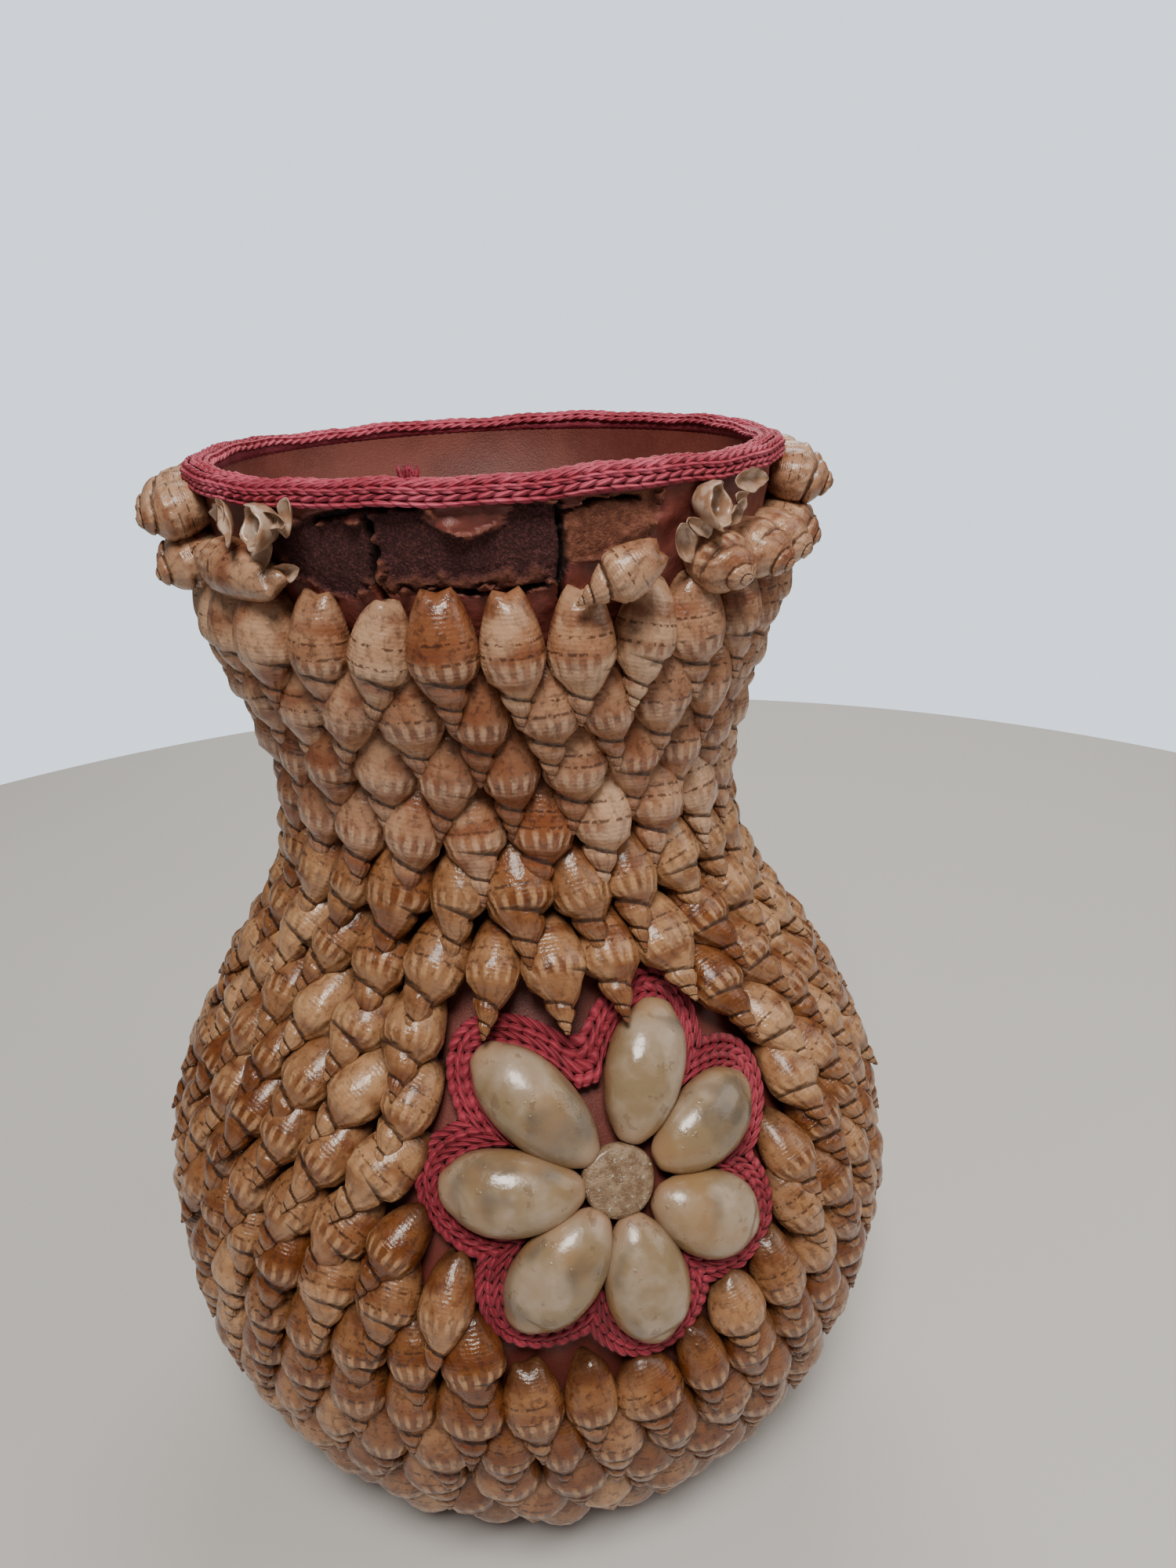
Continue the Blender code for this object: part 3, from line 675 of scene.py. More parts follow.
def pot_look():
    """Brown painted pot: glossy coat, bare granular filler, torn clay and cracks."""
    look = Look("terracotta", 0.50)
    grit, torn, crack = look.attribute("peel")
    patch = look.noise(60.0)
    fine = look.noise(900.0, 3.0, 0.7)
    grain = look.noise(2400.0, 3.0, 0.7)
    worn, black = (0.20, 0.085, 0.058), (0.010, 0.005, 0.004)
    coat = look.mix(look.step(patch, 0.35, 0.65), (0.125, 0.027, 0.021), (0.190, 0.047, 0.036))
    filler = look.mix(look.step(grain, 0.45, 0.65), (0.052, 0.013, 0.014), (0.145, 0.042, 0.042))
    clay = look.mix(look.step(fine, 0.38, 0.65), (0.15, 0.046, 0.026), (0.27, 0.098, 0.056))
    look.feed("Base Color", look.layers(
        coat, (look.step(fine, 0.62, 0.75) * 0.4, worn), (grit, filler), (torn, clay), (crack, black)))
    look.feed("Roughness", 0.38 + grit * 0.45 + torn * 0.35 + patch * 0.12)
    look.bump(grain * (0.25 + grit * 2.2 + torn * 0.8) + patch * 0.4, 0.00045, 0.8)
    return look.made


def chip_look():
    """Thin broken shell, cloudy white to tan."""
    look = Look("shell_chip", 0.35, coat=0.3)
    tan, white = (0.36, 0.20, 0.12), (0.56, 0.41, 0.31)
    veil = look.noise(500.0)
    look.feed("Base Color", look.mix(look.step(veil, 0.4, 0.65), tan, white))
    look.feed("Roughness", 0.25 + veil * 0.2)
    look.bump(veil, 0.0002, 0.5)
    return look.made


# A conch: places along it from apex to tail, and its girth there

AXIS = (0.0, 0.06, 0.12, 0.20, 0.28, 0.34, 0.39, 0.44, 0.50, 0.58, 0.68, 0.78, 0.88, 0.95, 1.0)
GIRTH = (0.05, 0.14, 0.24, 0.37, 0.49, 0.58, 0.69, 0.86, 0.98, 1.0, 0.95, 0.85, 0.71, 0.57, 0.40)
BLUNT_GIRTH = (0.12, 0.34, 0.48, 0.63, 0.75, 0.83, 0.89, 0.94, 0.98, 1.0, 0.97, 0.91, 0.82, 0.74, 0.64)
SPIRE_END = 0.46


def conch(rng, rings=32, sides=18, knobs=None, outline=GIRTH, whorls=3.7, steps=1.0):
    """Unit conch: rings by sides of (along from apex, aside, up), and its UV grids."""
    # three fifths of the rings make the spire, closest together at the apex
    share = np.linspace(0.0, 1.0, rings * 3 // 5)
    rise = 0.20 * share + 0.026 * (np.exp(share * 2.303) - 1.0)
    along = np.concatenate((rise / rise[-1] * SPIRE_END, np.linspace(0.475, 1.0, rings - len(share))))
    s, t = np.meshgrid(along, tau * np.arange(sides + 1) / sides, indexing="ij")
    start = rng.uniform(0.0, tau)
    whorls = whorls + rng.uniform(-0.4, 0.4)
    phase = whorls * np.log(s / 0.05 + 1.0) / np.log(SPIRE_END / 0.05 + 1.0) + t / tau
    spire = unit((SPIRE_END - s) / 0.05)
    stepped = 0.74 + 0.42 * np.sin(0.75 * pi * (phase % 1.0))
    knobs = rng.choice((0.0, 0.0, 0.03, 0.07)) if knobs is None else knobs
    lumps = np.maximum(0.0, np.cos(6.0 * t + start)) ** 2
    girth = np.interp(s, AXIS, outline)
    girth = girth * (1.0 + (stepped - 1.0) * spire * steps)
    girth = girth * (1.0 + knobs * lumps * np.exp(-((s - 0.42) / 0.12) ** 2))
    girth = girth * (1.0 + 0.035 * np.cos(t - start) + 0.02 * np.cos(2.0 * t + 2.0 * start))
    notch = 0.035 * unit((s - 0.85) / 0.15) * np.cos(2.0 * t + start)
    grid = np.stack((s + notch, girth * np.cos(t + start), girth * np.sin(t + start)), -1)
    return grid[:, :sides], np.stack((phase, s), -1), t / tau


def place_conch(batch, rng, tail, apex, normal, wide, high, tone, **shape):
    """Put a conch between two points, flat side to the wall's outward direction."""
    grid, whorl, around = conch(rng, **shape)
    axis = np.asarray(tail) - np.asarray(apex)
    length = np.linalg.norm(axis)
    axis = axis / length
    side = np.cross(normal, axis)
    side /= np.linalg.norm(side)
    up = np.cross(axis, side)
    points = (np.asarray(apex) + grid[..., :1] * axis * length
              + grid[..., 1:2] * side * wide + grid[..., 2:] * up * high)
    batch.add(points, whorl, np.stack((around, np.full_like(around, tone)), -1))


def wall_direction(angle, down):
    near, far = spot(angle, down, 0.0), spot(angle, down, 0.01)
    return (far - near) / np.linalg.norm(far - near)


# Stitches of the knitted braids: strands of six rings of six points

STRAND_FAT = (0.35, 0.85, 1.0, 1.0, 0.8, 0.35)
STRAND_UV = np.stack(np.meshgrid(np.arange(7) / 6.0, np.linspace(0.0, 1.0, 6)), -1)
LEG_LENGTH = 1.55
LEG_SPREAD = 0.72


def stitch_grid(along, across, pitch, width, thick, lift, rng):
    """One leg of a V: a short fat strand in (along, across, lift) coordinates."""
    along = along + rng.gauss(0.0, 0.04) * pitch
    thick, lift = thick * rng.uniform(0.88, 1.10), lift + rng.gauss(0.0, 0.10) * thick
    t = np.linspace(0.0, 1.0, 6)
    fat = np.array(STRAND_FAT) * thick
    centre = np.stack((along + (t - 0.5) * pitch * LEG_LENGTH, across * width * (0.16 + LEG_SPREAD * t),
                       lift + thick * 0.55 * np.sin(pi * t) - thick * 0.2), -1)
    turn = tau * np.arange(6) / 6
    tilt = atan2(across * width * LEG_SPREAD, pitch * LEG_LENGTH)
    ring = np.stack((-np.cos(turn) * sin(tilt), np.cos(turn) * cos(tilt), np.sin(turn)), -1)
    return centre[:, None, :] + ring[None] * fat[:, None, None]


# The add-on

class VaseSizes(bpy.types.PropertyGroup):
    """Sizes and colours of the vase that a user would change."""
    conch_wide: FloatProperty(name="Shell fullness", description="Width of a shell against its room",
                              default=0.95, min=0.8, max=1.2)
    stitch_pitch: FloatProperty(name="Stitch pitch", description="Length of one knitted stitch",
                                default=0.0023, unit="LENGTH")
    coat_thick: FloatProperty(name="Coat thickness", description="Thickness of the peeling brown coat",
                              default=0.0006, unit="LENGTH")
    seed: IntProperty(name="Seed", description="Choice of random shell shapes", default=11)
    shell_tan: FloatVectorProperty(name="Shell tan", description="Colour of most shells", subtype="COLOR",
                                   size=3, default=(0.182, 0.060, 0.014))
    shell_pale: FloatVectorProperty(name="Shell cream", description="Colour of the palest shells",
                                    subtype="COLOR", size=3, default=(0.54, 0.305, 0.155))
    shell_dark: FloatVectorProperty(name="Shell brown", description="Colour of dashes and sutures",
                                    subtype="COLOR", size=3, default=(0.040, 0.013, 0.006))


def sizes():
    return bpy.context.scene.vase_sizes


def shell_tone_and_painted_light(number, height, rng):
    """Share of cream in a shell, random from shell to shell and most in the first row; more of it up the
    neck and on the shoulder is painted light falling from above.
    """
    tone = 0.02 + 2.1 * height + 0.24 * exp(-((height - 0.115) / 0.025) ** 2)
    return unit(rng.gauss(tone + (0.16 if number == 1 else 0.0), 0.28))


def peel(a, h):
    """Relief in metres, and masks of filler, torn clay and cracks, at degrees and mm."""
    coat = sizes().coat_thick
    a = a + 1.4
    x = a * MM_PER_DEGREE
    rough = value_noise(x * 0.55 + 9.0, h * 0.55, 3) + value_noise(x * 1.6, h * 1.6 + 5.0, 4) * 0.45
    fine = value_noise(x * 4.0, h * 4.0, 5)
    ragged = value_noise(x * 0.24 + 3.0, h * 0.24 + 7.0, 8)

    def patch(left, right, low, high, slant=0.0):
        middle, half = (left + right) * MM_PER_DEGREE / 2.0, (right - left) * MM_PER_DEGREE / 2.0
        aside = np.abs(x - slant * (h - 193.0) - middle) - half
        above = np.abs(h - (low + high) / 2.0 + slant * 0.1 * x) - (high - low) / 2.0
        corner = np.log(np.exp(aside * 1.3) + np.exp(above * 1.3)) / 1.3
        return corner + rough * 0.9 + ragged * 1.5

    def soft(distance, width=0.35):
        return unit(0.5 - distance / width)

    def line(points, width):
        best = np.full(a.shape, 99.0)
        for (x0, y0), (x1, y1) in zip(points, points[1:]):
            dx, dy = (x1 - x0) * MM_PER_DEGREE, y1 - y0
            aside, above = x - x0 * MM_PER_DEGREE, h - y0
            share = unit((aside * dx + above * dy) / (dx * dx + dy * dy))
            best = np.minimum(best, np.hypot(aside - share * dx, above - share * dy))
        return soft(best - width + rough * 0.22, 0.3)

    left = patch(-52.0, -31.6, 186.6, 197.0, 0.10)
    middle = patch(-31.0, -0.2, 186.8, 199.2, -0.06)
    island = patch(-24.5, -10.5, 194.2, 201.0, 0.30)
    torn_at = patch(-0.2, 16.0, 190.6, 199.2, 0.35)
    grit_at = np.minimum(left, np.maximum(middle, -island))
    grit = soft(grit_at)
    torn = soft(torn_at) * (1.0 - grit)
    crack = np.max([line(points, width) for width, points in CRACKS], 0)
    edge = np.minimum(np.abs(grit_at), np.abs(torn_at) + 0.1)
    # curled edges, a row of flakes below, a drip on the island and a flap at the right
    curl = np.exp(-(edge / 0.55) ** 2) * (1.0 - grit) * (1.0 - torn)
    curl = curl * unit(0.3 + rough * 1.3)
    flake = np.exp(-((h - 188.2 - rough) / 0.8) ** 2) * unit((-1.0 - a) / 3.0)
    flake = flake * unit((a + 36.0) / 3.0)
    drip = np.exp(-((x + 18.3 * MM_PER_DEGREE) / 1.6) ** 2 - ((h - 196.0) / 1.1) ** 2)
    relief = coat * (1.0 - grit) - torn * coat * 0.7 + fine * 0.00010 * (0.4 + grit)
    flap = np.exp(-((x - 12.4) / 3.6) ** 2 - ((h - 193.6 - 0.25 * (x - 12.0)) / 1.5) ** 2)
    relief = relief + curl * 0.0013 + flake * 0.0010 + drip * 0.0011 + rough * 0.00016 + flap * 0.0009
    relief = relief - crack * 0.0016
    reach = unit((h - 172.0) / 6.0) * unit((201.6 - h) / 1.2)
    reach = reach * unit((61.0 - np.abs(a)) / 8.0)
    pale = np.clip(curl * 1.3 + flake * 0.7, 0.0, 0.9) * (1.0 - crack)
    masks = np.stack((grit, np.maximum(torn, pale), crack), -1) * reach[..., None]
    return relief * reach, masks


class VASE_OT_pot(bpy.types.Operator):
    """Turn the pot with its cracked and peeling coat under the lip"""
    bl_idname = "vase.pot"
    bl_label = "Pot"

    def execute(self, context):
        # points lie closer together on the bare front under the lip
        front = np.radians(np.linspace(-FRONT_HALF, FRONT_HALF, 311))
        back = np.radians(np.linspace(FRONT_HALF, 360.0 - FRONT_HALF, 110))[1:-1]
        turn = np.concatenate((front, back))
        z = np.concatenate((np.linspace(LIP_TOP, BARE_BOTTOM, 90), np.linspace(BARE_BOTTOM, 0.0, 48)[1:]))
        inner = np.concatenate((np.linspace(FLOOR, LIP_TOP - 0.001, 32), [LIP_TOP]))
        radius = np.array([wall_radius(h) for h in z])
        thin = WALL - 0.0014 * unit((inner - 0.186) / 0.01)
        inside = np.array([wall_radius(h) - t / wall_normal(h)[0] for h, t in zip(inner, thin)])
        relief, masks = peel(*np.meshgrid(np.degrees(wrapped(turn)), z * 1000.0))
        far = np.concatenate((radius[:, None] + relief, np.repeat(inside[:, None], len(turn), 1)))
        high = np.repeat(np.concatenate((z, inner))[:, None], len(turn), 1)
        grid = around_axis(turn, far, high - rim_dip(turn, high))
        # from the floor inside, up over the lip, down outside to the foot
        grid = np.concatenate((grid[len(z):], grid[:len(z)]))
        within = np.zeros((len(inner), len(turn), 3))
        within[..., 1] = INNER_CLAY
        masks = np.concatenate((within, masks)).reshape(-1, 3)
        batch = Batch()
        batch.add(grid)
        pot = batch.build("pot", pot_look())
        layer = pot.data.attributes.new("peel", "FLOAT_COLOR", "POINT")
        values = np.zeros((len(pot.data.vertices), 4), np.float32)
        values[:, 3] = 1.0
        values[:len(masks), :3] = masks
        layer.data.foreach_set("color", values.ravel())
        settle(pot, "terracotta", "vase_body")
        return {"FINISHED"}


def lay_row(number, look, slot):
    down = down_at(FIRST_ROW_Z) + ROW_PITCH * (number - 1)
    angles, height = row_angles(number, down, random.Random(100 + number))
    rng = random.Random(sizes().seed * 100 + number)
    radius = crest_radius_at(down)
    batch = Batch()
    for before, after in zip(angles, angles[1:]):
        middle = (before + after) / 2.0
        turn = lean(wrapped(middle), height)
        tail = clear_reach(middle, down, turn, TAIL_REACH, -1.0, BRAID_OUTER + CLEARANCE)
        apex = clear_reach(middle, down, turn, APEX_REACH, 1.0, CLEARANCE + BRAID_WIDTH / 3.0)
        turn += radians(rng.gauss(0.0, TURN_JITTER))
        size = rng.uniform(0.92, 1.08)
        tail, apex = tail * size, apex * rng.uniform(1.06, 1.26) + TIP_EXTRA
        shorter = min(1.0, 0.55 + 0.45 * (tail + apex) / (TAIL_REACH + APEX_REACH))
        room = min(after - before, 2.0 * SHELL_PITCH / radius) * radius / 2.0
        wide = min(room * sizes().conch_wide, WIDEST_CONCH) * shorter * rng.uniform(0.95, 1.04)
        high = CONCH_HIGH * size * shorter
        start = spot(middle - sin(turn) * tail / radius, down - cos(turn) * tail, TAIL_STAND)
        # tips lie closer to the wall on the lower belly
        sunk = 0.0010 * unit((0.095 - height) / 0.03)
        stand = APEX_STAND + 0.0008 - sunk + rng.uniform(-0.0008, 0.0006)
        end = spot(middle + sin(turn) * apex / radius, down + cos(turn) * apex, stand)
        tone = shell_tone_and_painted_light(number, height, rng)
        knobs = rng.choice((0.05, 0.10, 0.15)) if 4 <= number <= 9 else None
        place_conch(batch, rng, start, end, wall_direction(middle, down), wide, high, tone, knobs=knobs)
    name = f"shells_row_{number:02d}"
    settle(batch.build(name, look), slot, f"shell_row_{number:02d}")


class VASE_OT_rows(bpy.types.Operator):
    """Lay the rows of conches, apex down, around the pot"""
    bl_idname = "vase.rows"
    bl_label = "Rows of shells"

    def execute(self, context):
        chosen = sizes()
        tan = conch_look("conch_tan", chosen.shell_tan, chosen.shell_pale, chosen.shell_dark)
        greys = (0.27, 0.100, 0.041), (0.62, 0.385, 0.240), (0.045, 0.015, 0.008)
        grey = conch_look("conch_grey", *greys)
        # the first row's tails lie open, so they get less painted shade
        first = conch_look("conch_first", *greys, tail=0.20)
        for number in range(1, ROW_COUNT + 1):
            look = first if number == 1 else grey if number <= GREY_ROWS else tan
            lay_row(number, look, "shell_grey" if number <= GREY_ROWS else "shell_tan")
        return {"FINISHED"}


def lay_ring(name, rise, right, left, look):
    down = down_at(FIRST_ROW_Z) - rise
    radius = crest_radius_at(down)
    start, span = radians(right), tau - radians(right) + radians(left)
    count = round(span * radius / COLLAR_PITCH)
    rng = random.Random(round(rise * 10000))
    batch = Batch()
    for i in range(count):
        angle = start + span * (i + 0.5) / count
        aside = np.array((cos(angle), sin(angle), 0.0))
        tip = spot(angle, down, COLLAR_REACH) + aside * rng.gauss(0.0, 0.0014)
        tip = tip + np.array((0.0, 0.0, -1.0)) * rng.uniform(0.0, 0.0018)
        foot = spot(angle, down, COLLAR_FOOT)
        wide = span / count * radius / 2.0 * rng.uniform(0.96, 1.06)
        tone = unit(rng.gauss(0.55, 0.22))
        place_conch(batch, rng, foot, tip, np.array((0.0, 0.0, 1.0)), wide, CONCH_HIGH, tone,
                    rings=34, sides=22, outline=BLUNT_GIRTH, whorls=2.6, steps=0.75, knobs=0.0)
    settle(batch.build(name.replace("collar", "shells_collar"), look), "shell_tan", name)


class VASE_OT_collar(bpy.types.Operator):
    """Set the two rows of conches that point outwards under the lip"""
    bl_idname = "vase.collar"
    bl_label = "Collar of shells"

    def execute(self, context):
        look = bpy.data.materials["conch_first"]
        lay_ring("collar_lower", LOWER_RISE, 23.6, -79.0, look)
        lay_ring("collar_upper", UPPER_RISE, 56.6, -77.4, look)
        return {"FINISHED"}


def add_cup(batch, angle, down, open_side):
    """A thin cup, broken away on one side, with a jagged mouth that opens outwards."""
    turn = tau * np.arange(36) / 36
    tall = 0.68 + 0.30 * np.cos(turn - open_side)
    tall = tall + 0.07 * np.sin(3.0 * turn) + 0.04 * np.sin(7.0 * turn + 1.0)
    far = crest_radius_at(down)
    rings = []
    for radius, stand in CUP_RINGS:
        lift = stand * np.where(stand > 0.0015, tall, 1.0)
        oval = radius * 0.80 * (1.0 + 0.10 * np.cos(2.0 * turn))
        rings.append(spot(angle + oval * np.cos(turn) / far, down + oval * np.sin(turn), lift))
    batch.add(np.array(rings))


def add_chip(batch, angle, down, rng):
    """A thin curved splinter of shell."""
    length, width = rng.uniform(0.0045, 0.0080), rng.uniform(0.0024, 0.0040)
    turn = rng.uniform(0.0, pi)
    t = np.linspace(-1.0, 1.0, 11)
    ring = tau * np.arange(12) / 12
    ragged = 1.0 + 0.10 * np.sin(5.0 * t + length * 9000.0)
    across = np.sqrt(np.clip(1.0 - t ** 2, 0.02, 1.0)) * width / 2.0 * ragged
    x = t[:, None] * length / 2.0
    y = across[:, None] * np.cos(ring)
    rise = rng.uniform(-0.25, 0.35)
    lift = CHIP_STAND + 0.0016 * (y / width * 2.0) ** 2 + 0.00014 * np.sin(ring)
    lift = lift + np.abs(rise) * length / 2.0
    lift = lift + rise * x + (t[:, None] * length) ** 2 * 30.0
    along, aside = cos(turn) * x - sin(turn) * y, sin(turn) * x + cos(turn) * y
    batch.add(spot(angle + along / crest_radius_at(down), down + aside, lift))


class VASE_OT_singles(bpy.types.Operator):
    """Set the side shell, the loose shell and the two broken shells with their chips"""
    bl_idname = "vase.singles"
    bl_label = "Single shells"

    def execute(self, context):
        look = bpy.data.materials["conch_first"]
        low = down_at(FIRST_ROW_Z) - LOWER_RISE
        rng = random.Random(5)
        # angles of apex and tail in degrees, their ways down, stand and half width
        for name, node, first, last, first_down, last_down, stand, wide in (
                ("side_conch", "side_shell", -84.0, -50.0, low - 0.0022, low - 0.0002, 0.0050, 0.0044),
                ("loose_conch", "loose_shell", -1.0, 11.6, low + 0.0022, low - 0.0050, 0.0074, 0.0039)):
            batch = Batch()
            tail = spot(radians(last), last_down, stand)
            apex = spot(radians(first), first_down, stand - 0.0006)
            out = wall_direction(radians((first + last) / 2.0), (first_down + last_down) / 2.0)
            place_conch(batch, rng, tail, apex, out, wide, wide, 0.55, rings=60, sides=32, knobs=0.04)
            settle(batch.build(name, look), "shell_tan", node)
        chip = chip_look()
        high = low - COLLAR_GAP
        for name, node, angle, open_side in (("broken_cup_left", "broken_shell_left", -52.4, 0.4),
                                             ("broken_cup_right", "broken_shell_right", 25.6, 2.6)):
            batch = Batch()
            add_cup(batch, radians(angle), high, open_side)
            for _ in range(CHIPS_PER_CUP):
                aside, below = rng.uniform(-0.17, 0.15), rng.uniform(-0.003, 0.008)
                add_chip(batch, radians(angle) + aside, high + below, rng)
            settle(batch.build(name, chip), "shell_tan", node)
        return {"FINISHED"}


def lay_cowrie(number, look, size):
    along = np.linspace(0.0, pi, 45)
    p, t = np.meshgrid(along[1:-1], tau * np.arange(41) / 40, indexing="ij")
    x = -np.cos(p)
    girth = np.sin(p) ** 0.80 * (1.0 + 0.13 * x - 0.03 * x * x)
    y, z = girth * np.cos(t), girth * np.sin(t)
    # small beaks at both ends, and a shallow dent beside the outer one
    beak = np.exp(-((np.abs(x) - 0.99) / 0.07) ** 2) * np.where(x > 0.0, 1.0, 0.5)
    dent = 1.0 - 0.16 * np.exp(-((x - 0.80) / 0.10) ** 2) * np.exp(-((y - 0.1) / 0.35) ** 2)
    middle = cowrie_angle(number)
    reach = COWRIE_RING + x * COWRIE_LENGTH * size / 2.0 * (1.0 + 0.10 * beak)
    lift = np.where(z > 0.0, 0.30 + 0.70 * z * dent, 0.30 * (1.0 + z)) * COWRIE_HIGH
    side = y * COWRIE_WIDTH * 1.07 / 2.0
    px, py = cos(middle) * reach - sin(middle) * side, sin(middle) * reach + cos(middle) * side
    batch = Batch()
    batch.add(flower_spot(px[:, :40], py[:, :40], BED + lift[:, :40]),
              np.stack((x, t), -1), np.stack((z, t), -1))
    settle(batch.build(f"cowrie_petal_{number + 1}", look), "cowrie_cream", f"cowrie_{number + 1}")


def lay_button(look):
    turn = tau * np.arange(56) / 56
    rings = []
    for radius, stand in BUTTON_RINGS:
        wobble = 1.0 + 0.012 * np.sin(3.0 * turn) + 0.008 * np.sin(5.0 * turn)
        far = radius * BUTTON_RADIUS * wobble
        rings.append(flower_spot(far * np.cos(turn), far * np.sin(turn), BED + stand * BUTTON_HEIGHT))
    batch = Batch()
    batch.add(np.array(rings))
    settle(batch.build("button_disc", look), "button_beige", "flower_button")


class VASE_OT_flower(bpy.types.Operator):
    """Lay the seven cowries and the round button of the flower"""
    bl_idname = "vase.flower"
    bl_label = "Cowrie flower"

    def execute(self, context):
        look = cowrie_look()
        for number, size in enumerate(COWRIE_SIZES):
            lay_cowrie(number, look, size)
        lay_button(button_look())
        return {"FINISHED"}


class VASE_OT_flower_braid(bpy.types.Operator):
    """Knit the braid around the flower in seven lobes"""
    bl_idname = "vase.flower_braid"
    bl_label = "Flower braid"

    def execute(self, context):
        pitch = sizes().stitch_pitch
        theta = np.linspace(0.0, tau, 721)
        inner = np.array([flower_edge(t, CLEARANCE, INNER_CUSP) for t in theta])
        outer = np.array([flower_edge(t, BRAID_OUTER + OUTER_SWELL) for t in theta])
        middle = (inner + outer) / 2.0
        mx, my = middle * np.cos(theta), middle * np.sin(theta)
        run = np.concatenate(([0.0], np.cumsum(np.hypot(np.diff(mx), np.diff(my)))))
        count = round(run[-1] / pitch)
        pitch = run[-1] / count
        batch = Batch()
        rng = random.Random(41)
        for column in (0.25, 0.75):
            for i in range(count):
                for side in (-1.0, 1.0):
                    grid = stitch_grid((i + 0.5) * pitch, side, pitch, BRAID_WIDTH / 4.0,
                                       FLOWER_STRAND, 0.0, rng)
                    at = np.interp(grid[..., 0] % run[-1], run, theta)
                    low, high = np.interp(at, theta, inner), np.interp(at, theta, outer)
                    share = column + grid[..., 1] / BRAID_WIDTH
                    reach = low + (high - low) * share
                    stand = BED + STITCH_STAND + grid[..., 2]
                    batch.add(flower_spot(reach * np.cos(at), reach * np.sin(at), stand), STRAND_UV)
        core = []
        theta, inner, outer = theta[:-1], inner[:-1], outer[:-1]
        for share, stand in FLOWER_CORE:
            reach = inner + (outer - inner) * share
            core.append(flower_spot(reach * np.cos(theta), reach * np.sin(theta), BED * 0.5 + stand))
        ring = np.array(core).transpose(1, 0, 2)
        batch.add(np.concatenate((ring, ring[:1])), poles=False)
        # the same yarn as the lip braid; this darker copy is painted shade
        look = braid_look("knit_crimson_painted_shade", (0.23, 0.011, 0.027), (0.39, 0.034, 0.064))
        settle(batch.build("braid_flower", look), "braid_red", "flower_braid")
        return {"FINISHED"}


def knit_turns(name, node, columns, look, core, tuft=0):
    stitch = sizes().stitch_pitch
    batch = Batch()
    rng = random.Random(43)
    for index, (radius, height, out, up) in enumerate(columns):
        size = hypot(out, up)
        out, up = out / size, up / size
        count = round(tau * radius / stitch)
        pitch = tau / count
        for i in range(count):
            for side in (-1.0, 1.0):
                grid = stitch_grid(0.0, side, stitch, LIP_COLUMN, LIP_STRAND, LIP_STITCH_STAND, rng)
                at = (i + 0.5 * (index % 2)) * pitch + grid[..., 0] / radius
                sag = 0.00030 * np.sin(3.0 * at + 1.0) + 0.00022 * np.sin(8.0 * at)
                sag = sag + 0.00012 * np.sin(21.0 * at)
                far = radius + out * grid[..., 2] - up * grid[..., 1]
                high = height + up * grid[..., 2] + out * grid[..., 1] + sag
                points = around_axis(at, far, high - rim_dip(at, height))
                batch.add(points, STRAND_UV)
    # a frayed tuft of loose yarn on the lip
    for _ in range(tuft):
        grid = stitch_grid(0.0, 0.0, TUFT_LENGTH, 0.0, 0.00036, 0.0, rng)
        at = radians(TUFT_ANGLE + rng.uniform(-1.5, 1.5)) + grid[..., 1] / 0.047
        at = at + grid[..., 0] * rng.uniform(-9.0, 9.0)
        far = TUFT_RADIUS + grid[..., 2] + grid[..., 0] * rng.uniform(-0.5, 0.5)
        batch.add(around_axis(at, far, TUFT_Z + grid[..., 0]), STRAND_UV)
    turn = tau * np.arange(181) / 180
    rings = [around_axis(turn, far, high - rim_dip(turn, high)) for far, high in core]
    batch.add(np.array(rings).transpose(1, 0, 2), poles=False)
    settle(batch.build(name, look), "braid_red", node)


class VASE_OT_lip_braid(bpy.types.Operator):
    """Knit the turns of braid around, over and inside the lip"""
    bl_idname = "vase.lip_braid"
    bl_label = "Lip braid"

    def execute(self, context):
        # the same yarn as the flower braid; this brighter copy is painted light on the lip
        look = braid_look("knit_crimson_painted_light", (0.42, 0.036, 0.074), (0.68, 0.105, 0.180))
        knit_turns("braid_lip_outer", "lip_braid_outer", OUTER_COLUMNS, look, OUTER_CORE)
        knit_turns("braid_lip_top", "lip_braid_top", TOP_COLUMNS, look, TOP_CORE, TUFT_STRANDS)
        return {"FINISHED"}


def set_camera():
    lens = bpy.data.cameras.new("camera")
    lens.sensor_fit = "VERTICAL"
    lens.sensor_height = SENSOR_HEIGHT
    lens.lens = LENS
    lens.clip_start = 0.01
    made = add_object("camera", lens)
    turn = Matrix.Rotation(radians(CAMERA_TURN), 3, "Z")
    columns = [(*(turn @ Vector(axis)), 0.0) for axis in CAMERA_AXES]
    columns.append((*(turn @ Vector(CAMERA_PLACE)), 1.0))
    made.matrix_world = Matrix(columns).transposed()
    bpy.context.scene.camera = made


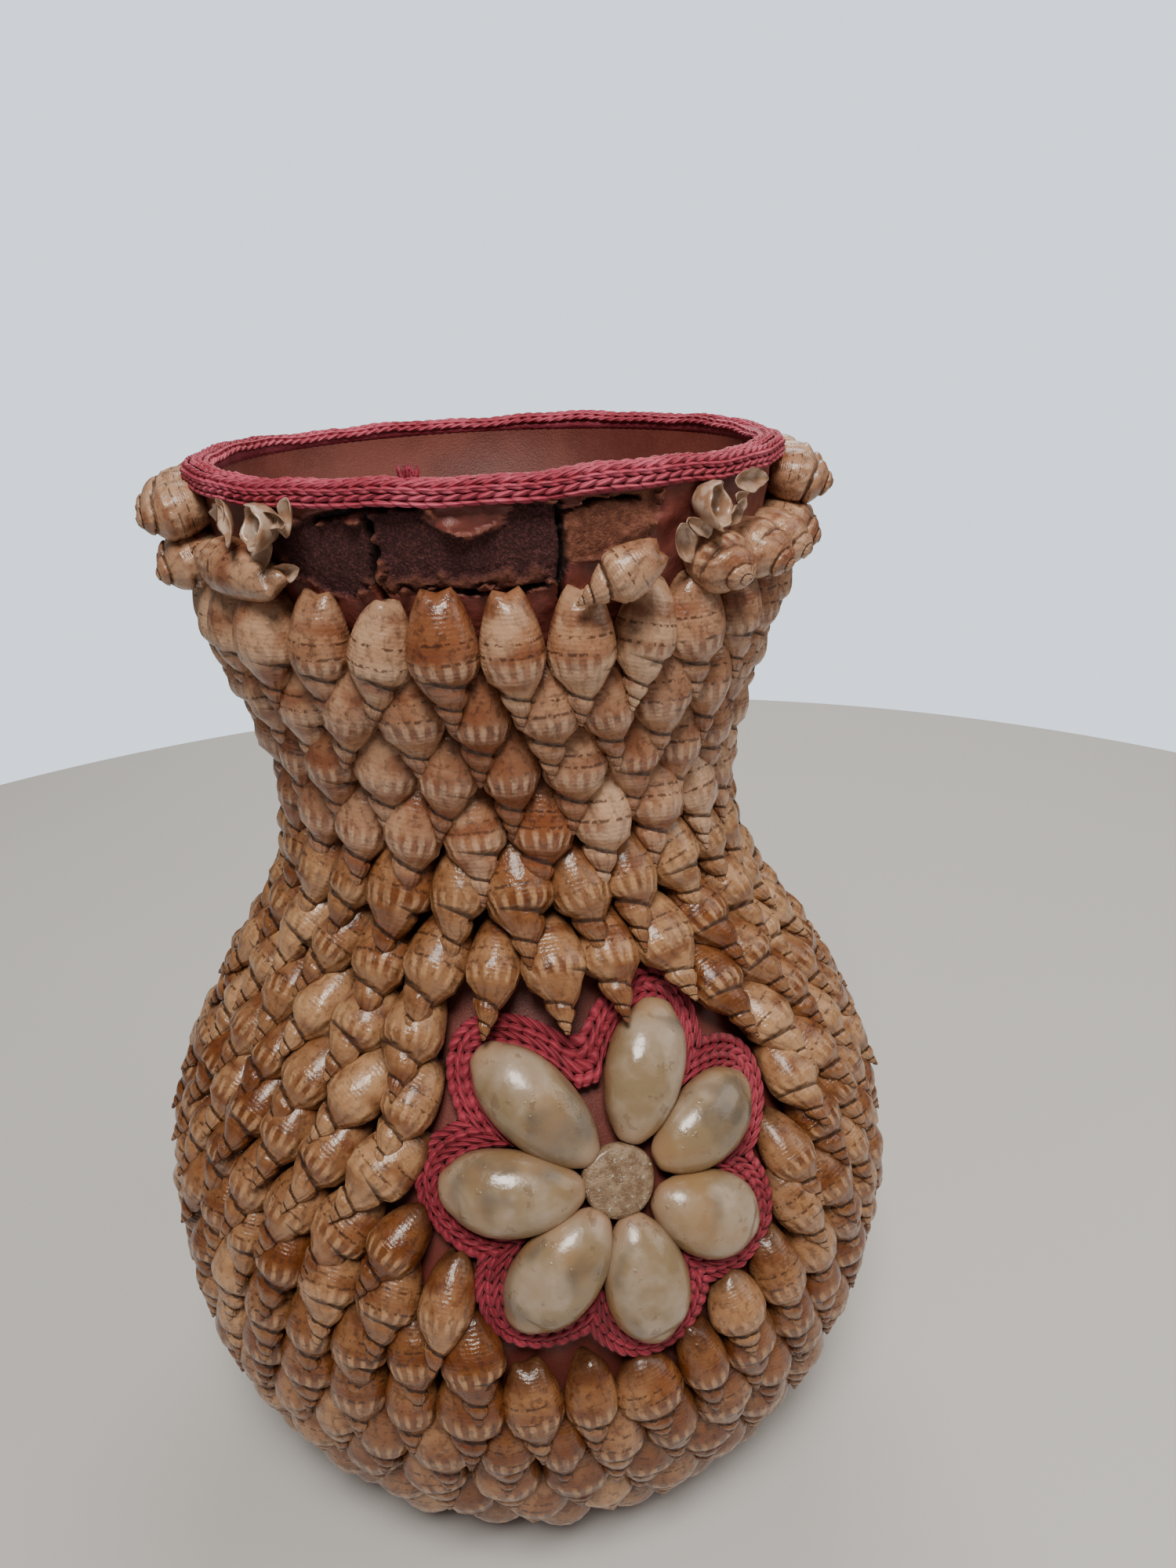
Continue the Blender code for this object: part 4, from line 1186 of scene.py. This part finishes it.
class VASE_OT_stage(bpy.types.Operator):
    """Set the pale floor, the soft lights and the camera"""
    bl_idname = "vase.stage"
    bl_label = "Stage"

    def execute(self, context):
        bpy.ops.object.select_all(action="DESELECT")
        bpy.ops.mesh.primitive_circle_add(vertices=160, radius=FLOOR_RADIUS, fill_type="NGON")
        floor = bpy.context.object
        floor.name = "floor"
        look = Look("floor_pale", 0.8)
        shade, pale = (0.62, 0.62, 0.61), (0.66, 0.66, 0.66)
        look.feed("Base Color", look.mix(look.noise(4.0, 2.0), shade, pale))
        floor.data.materials.append(look.made)
        world = bpy.data.worlds.new("studio")
        bpy.context.scene.world = world
        world.use_nodes = True
        nodes, links = world.node_tree.nodes, world.node_tree.links
        glow = nodes["Background"]
        seen = nodes.new("ShaderNodeBackground")
        for node, colour, power in ((glow, GLOW, GLOW_POWER), (seen, BACKDROP, BACKDROP_POWER)):
            node.inputs["Color"].default_value = colour
            node.inputs["Strength"].default_value = power
        path, mixed = nodes.new("ShaderNodeLightPath"), nodes.new("ShaderNodeMixShader")
        links.new(path.outputs["Is Camera Ray"], mixed.inputs[0])
        links.new(glow.outputs[0], mixed.inputs[1])
        links.new(seen.outputs[0], mixed.inputs[2])
        links.new(mixed.outputs[0], nodes["World Output"].inputs[0])
        for name, place, size, power in LAMPS:
            light = bpy.data.lights.new(name, "AREA")
            light.color = LAMP_COLOUR
            light.size = size
            light.energy = power
            lamp = add_object(name, light)
            lamp.location = place
            aim = Vector(LAMP_AIM) - Vector(place)
            lamp.rotation_euler = aim.to_track_quat("-Z", "Y").to_euler()
        set_camera()
        return {"FINISHED"}


class VASE_PT_panel(bpy.types.Panel):
    """Lists the vase's sizes and its building steps"""
    bl_label = "Shell vase"
    bl_idname = "VASE_PT_panel"
    bl_space_type = "VIEW_3D"
    bl_region_type = "UI"
    bl_category = "Shell vase"

    def draw(self, context):
        for name in VaseSizes.__annotations__:
            self.layout.prop(context.scene.vase_sizes, name)
        for step in STEPS:
            self.layout.operator(step.bl_idname)


STEPS = (VASE_OT_pot, VASE_OT_rows, VASE_OT_collar, VASE_OT_singles, VASE_OT_flower,
         VASE_OT_flower_braid, VASE_OT_lip_braid, VASE_OT_stage)
CLASSES = (VaseSizes, *STEPS, VASE_PT_panel)


def register():
    for made in CLASSES:
        bpy.utils.register_class(made)
    bpy.types.Scene.vase_sizes = PointerProperty(type=VaseSizes)


def unregister():
    del bpy.types.Scene.vase_sizes
    for made in reversed(CLASSES):
        bpy.utils.unregister_class(made)


def main():
    register()
    bpy.ops.vase.pot()
    bpy.ops.vase.rows()
    bpy.ops.vase.collar()
    bpy.ops.vase.singles()
    bpy.ops.vase.flower()
    bpy.ops.vase.flower_braid()
    bpy.ops.vase.lip_braid()
    bpy.ops.vase.stage()


if __name__ == "__main__":
    main()
